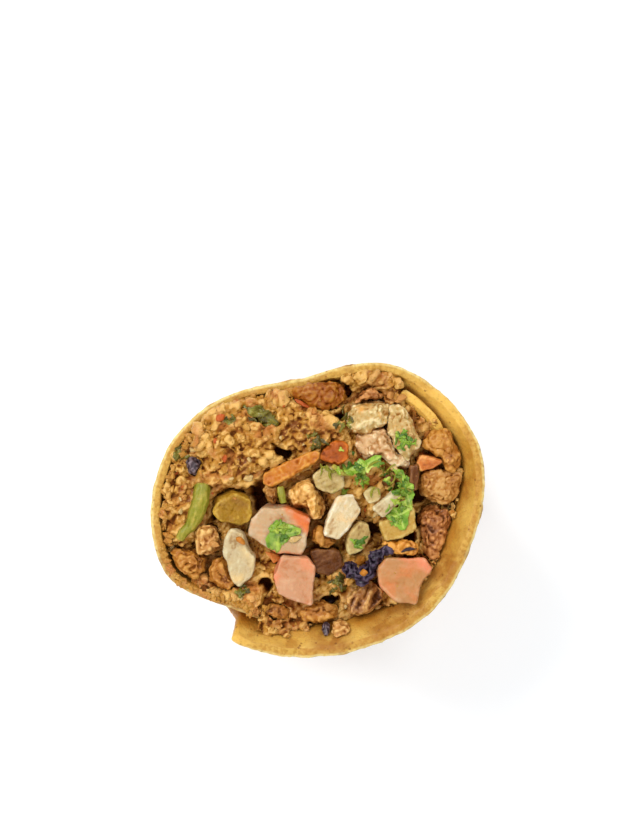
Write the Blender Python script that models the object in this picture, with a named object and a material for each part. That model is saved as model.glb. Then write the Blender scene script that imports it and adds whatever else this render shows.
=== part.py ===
"""Cut half of a rolled burrito, standing on its folded end with the cut face up.

World frame in metres, +Z up, origin under the middle of the object, on its base.
Every shape is worked out in millimetres about the roll's axis and turned into
metres at the end. Angles on the cut face run anticlockwise from +X, in degrees.

The wrap is one sheet of flour tortilla wound one and a half times round the
filling. Its outer layer starts at a free edge, the seam, and passes under
itself after one turn, where it goes on as a second, lower layer.
"""

import math
import random

import bmesh
import bpy
from mathutils import Matrix, Vector, noise
from mathutils.bvhtree import BVHTree

MM = 0.001

# ---- driving dimensions, in millimetres and degrees -------------------------

HEIGHT = 76.0            # cut face above the base
WALL = 2.0               # one layer of tortilla
FLOOR = 6.0              # folded layers under the filling
CLEAR = 0.35             # gap kept between pieces that touch
WRAP_CLEAR = 0.5         # gap kept between the wrap and what it holds
FOLD_CLEAR = 3.0         # how many times wider that gap is at the folded end
SHARPEST = 1.8           # most that the gap is widened at a sharp corner
NEAR_WRAP = 19.0         # pieces further out than this are fitted to the wrap

SEAM_ANGLE = 236.0       # free edge of the wrap, on the cut face
SEAM_LEAN = -28.0        # how far the seam leans round on its way to the base
SEAM_CURVE = 1.0         # 1 is an even slant; below 1, it leans more at the cut edge
OVERLAP = 179.0          # how far the second layer runs on under the first

BODY_X = 35.2            # half widths of the roll near its base
BODY_Y = 28.2
BODY_SHIFT = (-0.4, -1.4)  # middle of the roll there, from the axis
BODY_FROM = 24.0         # the cut edge's outline takes over between these heights
BODY_TO = 71.0
BELLY = 0.9              # how far the side bulges halfway up
FLARE_DEPTH = 9.5        # the wall opens out to the cut edge over this depth
FLARE_CURVE = 1.8        # how sharply it does; 1 is a straight cone
FOOT_SHARE = 0.62        # width of the flat base against the roll's width
FOOT_ROUND = 18.0        # height of the rounded folded end
FOOT_CURVE = 2.3         # roundness of the folded end; 2 is a quarter ellipse

# Cut edge of the wrap: degrees on from the seam, distance from the axis.
RIM = (
    (0, 36.5), (14, 35.7), (29, 34.8), (54, 33.6), (84, 34.8), (109, 34.8),
    (124, 36.0), (144, 38.0), (169, 37.0), (189, 35.2), (209, 31.2), (224, 29.2),
    (239, 30.0), (259, 33.2), (284, 36.7), (309, 38.1), (329, 37.3), (344, 32.6),
    (352, 30.2), (360, 28.9),
)

# How far the wall stands in below its cut edge on the outside, and how much
# further on the inside, where the loose layers bunch up.
LIP = ((0, 4.15), (40, 4.0), (90, 3.4), (140, 2.6), (179, 2.2), (225, 1.5), (285, 1.5), (330, 0.6),
       (360, 0.0))
BACKING = ((0, 0.0), (26, 2.5), (80, 2.6), (120, 2.0), (150, 1.6), (179, 1.2), (205, 0.0), (360, 0.0))

# Space between the two layers at the second one's edge, and how far that edge
# lies below the first layer's, both by degrees on from the seam.
SPREAD = ((0, 0.9), (30, 0.8), (60, 0.7), (110, 0.8), (145, 1.3), (179, 1.6))
DROP = ((0, -0.5), (3, 1.0), (10, 4.8), (24, 7.4), (45, 8.4), (90, 7.6), (128, 6.0), (148, 4.4),
        (162, 1.6), (179, 0.6))
SLIT_DEPTH = 8.0         # how deep the layers stand apart below that edge
SLIT_FLOOR = 17.0        # depth of the space's floor below the cut face
SLIT_LEAST = 0.45        # space left between them lower down
SLIT_PAST = (1.5, 2.0)   # degrees that it runs past the seam and past the second layer
LEDGE = 0.15             # roughness of the first layer where the second one ends
EDGE_SLANT = 0.3         # rise of the second layer's cut edge towards the first layer
SLIT_BLEND = 20.0        # degrees from the seam over which the layers come together
RIM_WAVE = 0.35          # unevenness of the knife's cut

TURN_STEPS = 54          # columns round the roll
TURN = 359.4             # one turn, less the slant of a torn edge
ABOVE = 14.0             # how far the room inside the wrap is drawn above the cut face

WRAP_FACES = 3900        # most triangles on the wrap, the filling and a separate piece
FILLING_FACES = 5250
PIECE_FACES = 112

# Pleats and gathered folds of the closed end: direction, lean per millimetre of
# height, depth (inwards is negative), half width in degrees, and height.
PLEATS = (
    (20.0, 0.6, -2.0, 7.0, 32.0),
    (33.0, 0.6, 1.0, 6.0, 28.0),
    (68.0, -0.4, -1.2, 6.0, 24.0),
    (98.0, -0.5, -1.7, 6.0, 30.0),
    (150.0, 0.9, -2.3, 8.0, 38.0),
    (168.0, 0.9, 1.1, 7.0, 32.0),
    (205.0, -0.3, -1.5, 6.0, 26.0),
    (252.0, 0.4, -1.2, 6.0, 22.0),
    (300.0, 0.5, -2.1, 7.0, 34.0),
    (330.0, -0.8, -1.6, 6.0, 40.0),
)
PLEAT_START = 4.0        # a pleat deepens over this height above the base
PLEAT_END = 14.0         # and fades over this height below its top
PLEATS_TOP = 40.0        # no pleat reaches higher than this

# Surface of the filling, from the cut plane: a base level, then low mounds and
# hollows as (x, y, radius, lift).
HEAP_LEVEL = -2.2
MOUNDS = (
    (-17.0, 14.0, 14.0, 4.6), (0.0, 20.0, 8.0, 2.6), (13.0, 27.0, 8.0, 2.6),
    (-29.0, -3.0, 8.0, 2.6), (-22.0, -18.0, 9.0, 2.4), (1.0, -5.0, 10.0, -3.2),
    (-14.0, 3.0, 3.2, -5.5), (-7.0, 12.2, 3.0, -4.0), (12.0, -6.0, 3.0, -5.0),
    (21.4, 2.0, 3.0, -5.0), (2.0, -20.0, 8.0, -1.6), (6.0, -26.0, 9.0, -2.4),
    (27.0, -2.0, 9.0, -2.2), (6.0, 26.0, 2.8, -3.5), (19.0, -11.0, 3.0, -3.0),
    (-19.6, -0.5, 5.5, -3.2),
)
HEAP_GRID = 3.0          # spacing of the heap's surface points
HEAP_ROUGH = 0.9         # unevenness of the heap between its mounds
HEAP_DETAIL = 0.22       # and how closely it changes, per millimetre
ROLL_OFF = 1.4           # fall of the heap where it meets the second layer
ROLL_WIDTH = 4.0         # and over what width
HEAP_HALF = 39.0         # half width of the block that the heap is cut from
HEAP_BELOW = 2.0         # how far that block goes below the inside of the wrap

CRUMB_COUNT = 120        # chopped meat that shows as crumbs on the heap
CRUMB_SIZES = (2.2, 4.6)
CRUMB_SHAPE = (1.15, 0.9, 0.85)
CRUMB_UNEVEN = (0.8, 1.15)
CRUMB_SPACING = 0.42     # of two crumbs' sizes added up
CRUMB_SEED = 11

# Separate pieces. Each centre is on the cut face; "top" is the highest point
# from the cut plane; "tilt" turns the piece about X and then about Y.
#
# Diced pieces: name, material, centre, top, depth, tilt, outline about the centre.
DICE = (
    ("tomato_1", "tomato", (-9.1, -5.1), 1.6, 7.5, (8, -6),
     ((-7.0, -1.1), (-0.3, -5.1), (4.8, -5.6), (6.2, -3.1), (7.1, 3.1), (1.7, 5.6),
      (-3.9, 5.6), (-6.2, 2.8))),
    ("tomato_2", "tomato", (-6.2, -16.0), 1.8, 7.5, (4, 3),
     ((-4.8, 1.0), (-3.7, -3.3), (4.0, -5.9), (4.8, 3.1), (3.5, 5.1), (-2.9, 5.6))),
    ("tomato_3", "tomato", (18.1, -16.5), 0.8, 7.0, (-4, 5),
     ((-6.0, 2.8), (-5.6, -1.3), (-1.5, -5.1), (2.8, -5.6), (3.8, -1.3), (6.6, 2.5),
      (4.8, 4.8), (1.5, 5.1), (-4.1, 5.1))),
    ("tomato_4", "tomato_skin", (24.5, 9.7), -1.2, 5.0, (12, 0),
     ((-3.0, 1.5), (-2.3, 2.3), (2.1, 1.3), (3.3, 1.0), (2.3, 0.0), (0.3, -1.3), (-2.5, -1.5),
      (-3.3, 0.0))),
    ("onion_1", "onion", (4.3, -2.5), 1.6, 4.5, (-8, 10),
     ((-4.2, -4.1), (-0.9, -5.2), (2.4, -1.8), (4.5, 1.5), (2.9, 5.1), (-0.9, 4.7),
      (-3.5, -0.3))),
    ("onion_2", "onion_pale", (-18.0, -10.9), 2.0, 4.5, (6, -8),
     ((-3.7, 1.0), (-1.4, -5.9), (0.0, -6.9), (3.3, -4.1), (3.7, 0.0), (2.0, 2.0),
      (0.8, 5.4), (-1.5, 6.6), (-3.2, 4.1))),
    ("onion_3", "onion_green", (1.8, 5.6), 0.8, 4.0, (-6, -8),
     ((-3.8, 1.0), (-2.6, -1.8), (1.0, -3.1), (3.6, -1.5), (3.6, 1.0), (1.5, 3.1),
      (-1.5, 3.3))),
    ("onion_4", "onion_pale", (14.8, 0.5), 2.0, 2.6, (0, 8),
     ((-3.8, -0.8), (-1.3, -3.1), (2.5, 0.3), (3.3, 2.3), (1.0, 3.3))),
    ("onion_5", "onion_pale", (8.0, -6.9), 0.0, 4.0, (10, 6),
     ((-2.8, -1.8), (-2.0, -4.1), (1.0, -2.8), (3.0, 0.3), (2.5, 3.3), (0.5, 4.1),
      (-1.8, 1.8))),
    ("onion_6", "onion_brown", (0.9, -12.2), -2.0, 4.0, (8, 12),
     ((-4.0, 2.6), (-3.0, -2.0), (0.5, -3.6), (3.9, -1.2), (3.2, 2.2), (0.2, 3.4))),
    ("onion_7", "onion_brown", (10.0, -20.9), -1.4, 5.0, (-10, 6),
     ((-4.6, -0.8), (-3.6, -3.8), (1.0, -3.3), (4.1, -0.3), (3.3, 2.8), (1.0, 4.3),
      (-2.5, 1.8))),
    ("onion_8", "onion_green", (11.4, 2.6), 1.4, 2.6, (10, -10),
     ((-2.2, 0.4), (-0.6, -2.0), (2.0, -1.2), (1.8, 1.6), (-0.4, 2.0))),
    ("onion_9", "onion_brown", (20.4, 6.4), -0.6, 4.0, (0, 14),
     ((-1.2, 2.8), (-1.4, -2.4), (0.6, -3.2), (1.4, 0.2), (0.8, 3.0))),
    ("potato_1", "potato", (17.1, -4.3), 1.0, 6.0, (-6, 4),
     ((-4.6, 0.5), (-3.1, -3.7), (0.5, -3.1), (4.2, -0.8), (3.3, 4.3), (0.0, 2.8))),
    ("potato_2", "potato", (-19.6, 0.0), 1.2, 6.5, (14, 10),
     ((-5.1, -0.5), (-3.1, -2.8), (1.5, -3.8), (4.2, -2.5), (3.6, 2.5), (0.0, 4.1),
      (-4.1, 2.0))),
    ("pepper_1", "pepper", (-6.8, 8.1), 1.0, 2.2, (-10, -6),
     ((-6.4, -3.1), (-4.6, -4.1), (-0.5, -2.0), (6.6, 2.0), (7.1, 3.8), (5.6, 4.6),
      (-2.5, 1.3), (-6.1, -0.8))),
    ("pepper_2", "pepper_skin", (3.1, 11.7), 2.0, 2.2, (-16, -14),
     ((-3.8, -0.3), (-2.3, -1.8), (0.9, -2.9), (3.4, -1.8), (3.4, 1.8), (1.3, 3.4),
      (-0.8, 2.8))),
)
DICE_BEVEL = 0.4         # softness of a diced piece's edges
DICE_TAPER = 0.88        # width of a diced piece's underside against its top

# Torn or chopped pieces: name, material, centre, top, depth, seed, outline about the centre.
CHUNKS = (
    ("chicken_1", "chicken", (10.2, 20.4), 1.6, 6.0, 3,
     ((-4.0, -0.5), (-3.0, 2.0), (-0.5, 3.2), (2.9, 3.0), (4.9, 2.3), (5.3, 0.0), (4.6, -2.0),
      (1.8, -2.8), (-1.2, -4.2), (-3.5, -4.3), (-4.3, -2.8))),
    ("chicken_2", "chicken", (18.5, 17.0), 1.4, 6.0, 4,
     ((-3.2, 5.2), (-1.4, 5.7), (0.2, 4.9), (0.9, 2.9), (1.9, 1.4), (3.6, -2.7), (2.2, -4.7),
      (0.9, -6.9), (-0.6, -5.5), (-1.9, -3.7), (-2.9, -1.7), (-3.9, 0.4), (-3.8, 2.9))),
    ("chicken_3", "chicken", (13.4, 13.2), 0.8, 6.5, 5,
     ((-5.4, 2.6), (-1.9, 4.1), (0.2, 4.4), (1.0, 3.8), (1.9, 2.4), (3.0, 0.3), (4.2, -1.5),
      (6.0, -3.2), (6.0, -4.4), (4.4, -4.3), (2.2, -3.5), (0.2, -2.0), (-3.4, -2.5), (-4.7, -1.7),
      (-5.7, 0.1))),
    ("meat_1", "meat", (26.4, 13.4), -0.2, 7.5, 21,
     ((-3.2, 2.9), (-1.9, 3.7), (0.2, 4.2), (1.9, 4.2), (3.2, 2.9), (3.7, 1.4), (4.0, -0.6),
      (4.5, -3.2), (4.4, -5.0), (3.0, -5.7), (1.8, -5.2), (1.2, -3.6), (0.4, -2.2), (-0.6, -1.7),
      (-2.6, -1.1), (-4.2, -0.1), (-3.9, 1.7))),
    ("meat_2", "meat", (26.6, 4.2), -1.2, 7.5, 22,
     ((-4.4, 2.7), (-2.8, 3.5), (-0.3, 4.0), (1.2, 3.2), (2.8, 3.5), (4.5, 3.2), (5.1, 1.7),
      (4.5, -0.1), (4.0, -1.9), (3.0, -3.2), (1.5, -3.9), (-0.3, -3.7), (-2.3, -2.9), (-4.1, -1.6),
      (-4.9, 0.4))),
    ("meat_3", "meat_dark", (25.4, -6.0), -2.4, 7.5, 23,
     ((-2.4, 5.5), (1.2, 5.8), (2.9, 5.5), (4.0, 4.2), (3.7, 1.9), (3.2, -0.4), (2.4, -3.2),
      (0.9, -5.7), (-0.1, -6.2), (-1.4, -5.7), (-2.4, -4.7), (-2.9, -2.6), (-3.2, -0.4), (-2.9, 1.7),
      (-3.7, 3.5))),
    ("meat_4", "meat_tan", (-3.8, 1.7), 0.6, 7.0, 24,
     ((-3.8, 0.4), (-3.0, 2.4), (-1.0, 3.9), (1.0, 4.4), (2.1, 2.4), (3.3, 0.4), (4.1, -2.2),
      (3.8, -4.5), (2.3, -4.7), (0.9, -2.2), (-0.5, -1.7), (-2.5, -1.7))),
    ("meat_5", "meat", (-11.2, 3.0), -0.4, 5.0, 25,
     ((-2.0, 0.3), (-1.0, 2.1), (1.3, 2.1), (1.8, 0.6), (1.6, -1.4), (0.8, -3.0), (-1.0, -2.0))),
    ("meat_6", "meat_red", (-0.8, 25.2), 1.4, 8.0, 26,
     ((-6.5, -0.1), (-5.5, 1.4), (-2.5, 2.4), (1.1, 3.0), (4.2, 2.7), (5.9, 1.9), (6.5, 0.4),
      (6.2, -1.4), (4.7, -2.6), (2.6, -3.4), (0.6, -3.4), (-1.4, -2.7), (-3.5, -1.8), (-6.0, -0.9))),
    ("meat_7", "meat_tan", (-25.2, -7.4), 1.4, 6.0, 27,
     ((-2.8, -0.7), (-2.5, 1.8), (-1.3, 3.3), (0.5, 3.6), (2.1, 2.6), (2.8, 0.8), (2.6, -1.8),
      (1.0, -3.5), (-1.0, -3.5), (-2.3, -2.5))),
    ("meat_8", "meat", (-29.8, -12.4), 0.8, 6.5, 28,
     ((-4.8, 2.2), (-3.0, 3.5), (-0.5, 2.7), (2.1, 2.2), (4.1, 0.7), (3.6, -1.9), (1.6, -3.9),
      (-1.0, -3.1), (-3.0, -1.3))),
    ("meat_9", "meat", (-22.4, -14.9), 0.6, 6.0, 29,
     ((-2.8, 1.2), (-1.8, 3.2), (0.3, 4.0), (1.0, 2.2), (2.1, -0.4), (3.1, -2.4), (1.8, -3.7),
      (-0.7, -3.2), (-2.5, -1.4))),
    ("meat_10", "meat_tan", (17.4, -9.2), 0.4, 4.0, 30,
     ((-4.3, 0.8), (-2.8, 1.6), (-0.8, 1.3), (0.7, 1.8), (2.8, 1.6), (4.1, 0.6), (4.3, -0.7),
      (3.3, -1.5), (1.8, -1.5), (0.5, -1.5), (-1.8, -0.5))),
    ("meat_11", "meat", (4.4, -28.0), -1.4, 4.0, 31,
     ((-1.8, 2.0), (-0.5, 2.4), (2.0, 1.5), (2.3, 0.0), (1.8, -1.8), (-0.3, -2.6), (-1.8, -1.5))),
    ("meat_12", "meat", (0.4, -7.2), -0.8, 5.0, 32,
     ((-2.2, 1.6), (-0.8, 2.4), (1.2, 0.6), (3.0, 0.4), (3.3, -1.2), (1.6, -2.2), (-0.6, -2.4),
      (-2.6, -0.8))),
    ("meat_13", "meat_dark", (10.6, 25.2), 1.4, 5.0, 33,
     ((-3.2, -2.2), (-2.1, -0.2), (-0.6, 1.3), (0.9, 1.6), (2.4, 0.3), (3.0, -0.7), (1.4, -1.5),
      (-0.6, -1.7))),
    ("meat_14", "meat", (-0.8, -24.0), -2.4, 5.0, 34,
     ((-3.5, 0.1), (-1.4, 1.6), (1.1, 2.6), (3.7, 1.1), (3.9, -1.0), (2.1, -2.2), (-0.9, -2.5),
      (-3.0, -1.5))),
    ("meat_15", "meat", (-10.5, -23.4), -1.8, 4.0, 35,
     ((-3.2, 1.0), (-1.4, 2.0), (1.1, 1.5), (3.2, 0.0), (2.9, -1.8), (0.6, -2.3), (-1.9, -1.0))),
    ("bean_1", "bean", (-28.2, 9.0), 0.9, 4.0, 41,
     ((-1.8, 1.0), (-0.8, 2.0), (1.0, 1.7), (1.6, 0.7), (1.0, -0.8), (0.2, -1.9), (-1.0, -1.3),
      (-1.5, -0.1))),
    ("bean_2", "bean", (1.1, -27.8), -1.8, 3.4, 42,
     ((-0.8, 1.1), (0.0, 1.6), (0.8, 1.1), (0.8, -0.5), (0.5, -1.7), (-0.5, -1.5), (-0.9, -0.2))),
)
# Sections of a chunk from its underside up: width, and height in half depths.
CHUNK_RINGS = ((0.78, -1.0), (1.0, -0.15), (0.95, 0.6), (0.6, 1.0))
CHUNK_ROUGH = 0.7        # unevenness of a chunk's surface
CHUNK_DETAIL = 0.3       # and how closely it changes, per millimetre

# Cilantro leaves: name, material, centre, length, width, turn about Z, lobes, top.
LEAVES = (
    ("cilantro_1", "leaf", (-8.6, -6.0), 8.6, 7.4, 70, 5, 3.2),
    ("cilantro_2", "leaf", (9.8, 8.6), 9.4, 6.4, 14, 5, 2.8),
    ("cilantro_3", "leaf", (18.4, 4.6), 10.6, 5.4, 96, 6, 2.8),
    ("cilantro_4", "leaf", (16.4, -2.6), 7.4, 5.8, 140, 5, 3.4),
    ("cilantro_5", "leaf_dark", (-12.2, 20.0), 6.2, 4.6, 150, 4, 2.8),
    ("cilantro_6", "leaf_dark", (-31.2, 11.4), 3.4, 2.8, 60, 3, 1.6),
)
LEAF_THICK = 0.5
LEAF_COLUMNS = 20
LEAF_WAVE = 0.45
LEAF_LOBE = 0.3          # depth of the cuts between its lobes
LEAF_SINK = 1.2          # how far a leaf may hang into a dip below its top

# Stems and a curled bean skin: name, material, and points (x, y, from the cut
# plane, radius).
STRANDS = (
    ("stem_1", "stem", ((-26.4, 4.8, -0.6, 1.8), (-26.6, 1.5, 0.4, 2.0), (-27.7, -1.5, 0.6, 1.8),
                        (-29.0, -4.4, 0.4, 1.4), (-30.5, -5.8, 0.3, 1.2), (-31.4, -7.2, 0.2, 1.0))),
    ("stem_2", "stem", ((-9.0, 4.4, 0.2, 0.8), (-8.7, 2.6, 0.6, 0.9), (-8.3, 0.8, 0.4, 0.8))),
    ("stem_3", "stem", ((2.6, 9.2, 1.4, 0.5), (4.6, 7.6, 1.9, 0.6), (7.4, 7.2, 1.6, 0.6),
                        (9.4, 4.6, 1.5, 0.5))),
    ("bean_skin", "bean", ((15.2, -9.3, -0.6, 1.0), (12.0, -10.9, -0.8, 1.2),
                           (11.2, -13.8, -1.0, 1.6), (8.8, -16.0, -1.2, 1.7),
                           (6.7, -15.0, -1.2, 1.5), (6.2, -12.4, -1.0, 1.3))),
)
STRAND_SIDES = 8

# Colours as sRGB, roughness.
MATERIALS = {
    "tortilla": ((218, 172, 88), 0.62),
    "filling": ((172, 112, 50), 0.50),
    "meat": ((188, 122, 56), 0.45),
    "meat_dark": ((152, 94, 48), 0.45),
    "meat_tan": ((205, 145, 78), 0.45),
    "meat_red": ((184, 100, 40), 0.42),
    "chicken": ((222, 188, 132), 0.48),
    "tomato": ((214, 145, 100), 0.28),
    "tomato_skin": ((200, 92, 48), 0.25),
    "onion": ((226, 198, 148), 0.25),
    "onion_pale": ((226, 202, 156), 0.32),
    "onion_green": ((186, 170, 108), 0.28),
    "onion_brown": ((148, 104, 68), 0.30),
    "potato": ((196, 158, 84), 0.45),
    "pepper": ((206, 122, 46), 0.30),
    "pepper_skin": ((168, 72, 10), 0.24),
    "leaf": ((110, 160, 52), 0.42),
    "leaf_dark": ((74, 88, 34), 0.50),
    "stem": ((168, 184, 84), 0.35),
    "bean": ((46, 34, 44), 0.28),
}


# ---- small helpers ----------------------------------------------------------

def smoothstep(x):
    """Ease from 0 to 1 as x goes from 0 to 1."""
    x = min(max(x, 0.0), 1.0)
    return x * x * (3.0 - 2.0 * x)


def mix(a, b, share):
    """Value a at share 0 and b at share 1."""
    return a + (b - a) * share


def curve_through(points, x):
    """Height at x of a smooth curve through (x, height) points."""
    last = len(points) - 1
    k = 0
    while k < last - 1 and x > points[k + 1][0]:
        k += 1
    (x0, y0), (x1, y1) = points[k], points[k + 1]
    share = min(max((x - x0) / (x1 - x0), 0.0), 1.0)
    before = points[max(k - 1, 0)]
    after = points[min(k + 2, last)]
    slope0 = (y1 - before[1]) / (x1 - before[0]) * (x1 - x0)
    slope1 = (after[1] - y0) / (after[0] - x0) * (x1 - x0)
    s2 = share * share
    s3 = s2 * share
    return ((2 * s3 - 3 * s2 + 1) * y0 + (s3 - 2 * s2 + share) * slope0
            + (3 * s2 - 2 * s3) * y1 + (s3 - s2) * slope1)


def polar(radius, degrees, z):
    """Point at this distance and direction from the roll's axis."""
    angle = math.radians(degrees)
    return Vector((radius * math.cos(angle), radius * math.sin(angle), z))


def new_object(name, bm):
    """Scene object that owns the bmesh's geometry."""
    mesh = bpy.data.meshes.new(name)
    bm.to_mesh(mesh)
    bm.free()
    obj = bpy.data.objects.new(name, mesh)
    bpy.context.scene.collection.objects.link(obj)
    return obj


def loft(name, rings, band=False):
    """Closed solid through rings of equally many points.

    Its ends are filled from their middle or, where each ring goes out along a
    band and back again, straight across the band.
    """
    bm = bmesh.new()
    rows = [[bm.verts.new(point) for point in ring] for ring in rings]
    count = len(rings[0])
    for low, high in zip(rows, rows[1:]):
        for i in range(count):
            j = (i + 1) % count
            bm.faces.new((low[i], low[j], high[j], high[i]))
    for row in (rows[0], rows[-1]):
        if band:
            for i in range(count // 2 - 1):
                bm.faces.new((row[i], row[i + 1], row[count - 2 - i], row[count - 1 - i]))
        else:
            middle = bm.verts.new(sum((v.co for v in row), Vector()) / count)
            for i in range(count):
                bm.faces.new((middle, row[i], row[(i + 1) % count]))
    bmesh.ops.triangulate(bm, faces=bm.faces)
    bmesh.ops.recalc_face_normals(bm, faces=bm.faces)
    return new_object(name, bm)


def largest_body(bm):
    """Delete every loose scrap, so that one connected body is left."""
    left = set(bm.verts)
    bodies = []
    while left:
        body = {left.pop()}
        front = list(body)
        while front:
            for edge in front.pop().link_edges:
                for vert in edge.verts:
                    if vert in left:
                        left.remove(vert)
                        body.add(vert)
                        front.append(vert)
        bodies.append(body)
    bodies.sort(key=len)
    scraps = [vert for body in bodies[:-1] for vert in body]
    bmesh.ops.delete(bm, geom=scraps, context="VERTS")


def boolean(target, others, operation):
    """Join, cut or intersect target with others, which are then removed."""
    group = bpy.data.collections.new("operands")
    bpy.context.scene.collection.children.link(group)
    for other in others:
        group.objects.link(other)
    modifier = target.modifiers.new("boolean", "BOOLEAN")
    modifier.operation = operation
    modifier.operand_type = "COLLECTION"
    modifier.collection = group
    modifier.solver = "EXACT"
    bpy.context.view_layer.update()
    evaluated = target.evaluated_get(bpy.context.evaluated_depsgraph_get())
    bm = bmesh.new()
    bm.from_mesh(evaluated.to_mesh())
    evaluated.to_mesh_clear()
    target.modifiers.remove(modifier)
    for other in others:
        bpy.data.objects.remove(other)
    bpy.data.collections.remove(group)
    bmesh.ops.triangulate(bm, faces=bm.faces)
    largest_body(bm)
    bm.to_mesh(target.data)
    bm.free()


def simplify(obj, triangles):
    """Collapse the smallest edges until no more than this many triangles are left."""
    if len(obj.data.polygons) <= triangles:
        return
    modifier = obj.modifiers.new("simplify", "DECIMATE")
    modifier.ratio = triangles / len(obj.data.polygons)
    bpy.context.view_layer.update()
    evaluated = obj.evaluated_get(bpy.context.evaluated_depsgraph_get())
    bm = bmesh.new()
    bm.from_mesh(evaluated.to_mesh())
    evaluated.to_mesh_clear()
    obj.modifiers.remove(modifier)
    bmesh.ops.triangulate(bm, faces=bm.faces)
    bm.to_mesh(obj.data)
    bm.free()


def room_mesh(obj):
    """Mesh of a piece, larger by the gap that neighbours keep to it."""
    bm = bmesh.new()
    bm.from_mesh(obj.data)
    bm.normal_update()
    moves = [vert.normal * CLEAR * min(vert.calc_shell_factor(), SHARPEST) for vert in bm.verts]
    for vert, move in zip(bm.verts, moves):
        vert.co += move
    mesh = bpy.data.meshes.new(obj.name + "_room")
    bm.to_mesh(mesh)
    bm.free()
    return mesh


def room_object(mesh):
    """Object for one use of a room as a cutter."""
    obj = bpy.data.objects.new(mesh.name, mesh)
    bpy.context.scene.collection.objects.link(obj)
    return obj


def box_of(obj):
    """Lowest and highest corner of an object's mesh."""
    points = [vert.co for vert in obj.data.vertices]
    low = Vector([min(p[k] for p in points) for k in range(3)])
    high = Vector([max(p[k] for p in points) for k in range(3)])
    return low, high


def boxes_meet(a, b, margin):
    """Whether two objects' boxes come within a margin of each other."""
    (low_a, high_a), (low_b, high_b) = box_of(a), box_of(b)
    return all(low_a[k] - margin < high_b[k] and low_b[k] - margin < high_a[k] for k in range(3))


# ---- the tortilla -----------------------------------------------------------

def seam_at(z):
    """Direction of the wrap's free edge at this height."""
    return SEAM_ANGLE + SEAM_LEAN * (1.0 - min(z / HEIGHT, 1.0)) ** SEAM_CURVE


def rim_height(degrees):
    """Height of the cut edge, slightly uneven from the knife."""
    a = math.radians(degrees)
    return HEIGHT + RIM_WAVE * (math.sin(2 * a + 0.6) + 0.6 * math.sin(5 * a + 2.0) - 1.2)


def flare(z):
    """Share to which the wall has opened out at this height."""
    return max(1.0 - (HEIGHT - z) / FLARE_DEPTH, 0.0) ** FLARE_CURVE


def outer_radius(turned, z):
    """Outside of the wrap, by degrees on from its free edge and by height."""
    degrees = seam_at(z) + turned
    a = math.radians(degrees)
    step = (WALL + SLIT_LEAST) * (1.0 - turned / 360.0)
    body = 1.0 / math.hypot(math.cos(a) / BODY_X, math.sin(a) / BODY_Y) + step
    body += BODY_SHIFT[0] * math.cos(a) + BODY_SHIFT[1] * math.sin(a)
    neck = curve_through(RIM, turned) - curve_through(LIP, turned) * (1.0 - flare(z))
    radius = mix(body, neck, smoothstep((z - BODY_FROM) / (BODY_TO - BODY_FROM)))
    radius += BELLY * math.sin(math.pi * min(max(z, 0.0) / HEIGHT, 1.0))
    fall = max(1.0 - max(z, 0.0) / FOOT_ROUND, 0.0)
    radius *= mix(FOOT_SHARE, 1.0, (1.0 - fall ** FOOT_CURVE) ** (1.0 / FOOT_CURVE))
    for direction, lean, depth, width, height in PLEATS:
        away = (degrees - direction - lean * z + 180.0) % 360.0 - 180.0
        fade = smoothstep(z / PLEAT_START) * smoothstep((height - z) / PLEAT_END)
        radius += depth * fade * math.exp(-(away / width) ** 2)
    return radius


def layer_gap(turned, z):
    """Space between the first layer and the second one under it."""
    at_seam = outer_radius(0.0, z) - outer_radius(360.0, z) - WALL
    opened = smoothstep((z - second_edge(turned) + SLIT_DEPTH) / SLIT_DEPTH)
    inside = mix(SLIT_LEAST, curve_through(SPREAD, turned), opened)
    return mix(at_seam, inside, smoothstep(turned / SLIT_BLEND))


def first_inner(turned, z):
    """Inside of the first layer."""
    return outer_radius(turned, z) - WALL - curve_through(BACKING, turned) * (1.0 - flare(z))


def second_outer(turned, z):
    """Outside of the second layer, which lies under the first."""
    return first_inner(turned, z) - layer_gap(turned, z)


def second_edge(turned):
    """Height of the second layer's cut edge, below the first one's."""
    return HEIGHT - curve_through(DROP, turned)


def outer_solid():
    """The whole roll as a solid, with the seam as a step down its side."""
    foot_rows = [FOOT_ROUND * (k / 6) ** 1.6 for k in range(7)]
    flare_start = HEIGHT - FLARE_DEPTH
    wall_rows = [mix(FOOT_ROUND, flare_start, k / 5) for k in range(1, 6)]
    rim_rows = [mix(flare_start, HEIGHT, (k / 5) ** 0.7) for k in range(1, 6)]
    rings = []
    for row in foot_rows + wall_rows + rim_rows:
        ring = []
        for k in range(TURN_STEPS + 1):
            turned = TURN * k / TURN_STEPS
            z = row
            if row == HEIGHT:
                z = rim_height(SEAM_ANGLE + turned)
            ring.append(polar(outer_radius(turned, min(z, HEIGHT)), seam_at(z) + turned, z))
        rings.append(ring)
    return loft("tortilla", rings)


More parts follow.
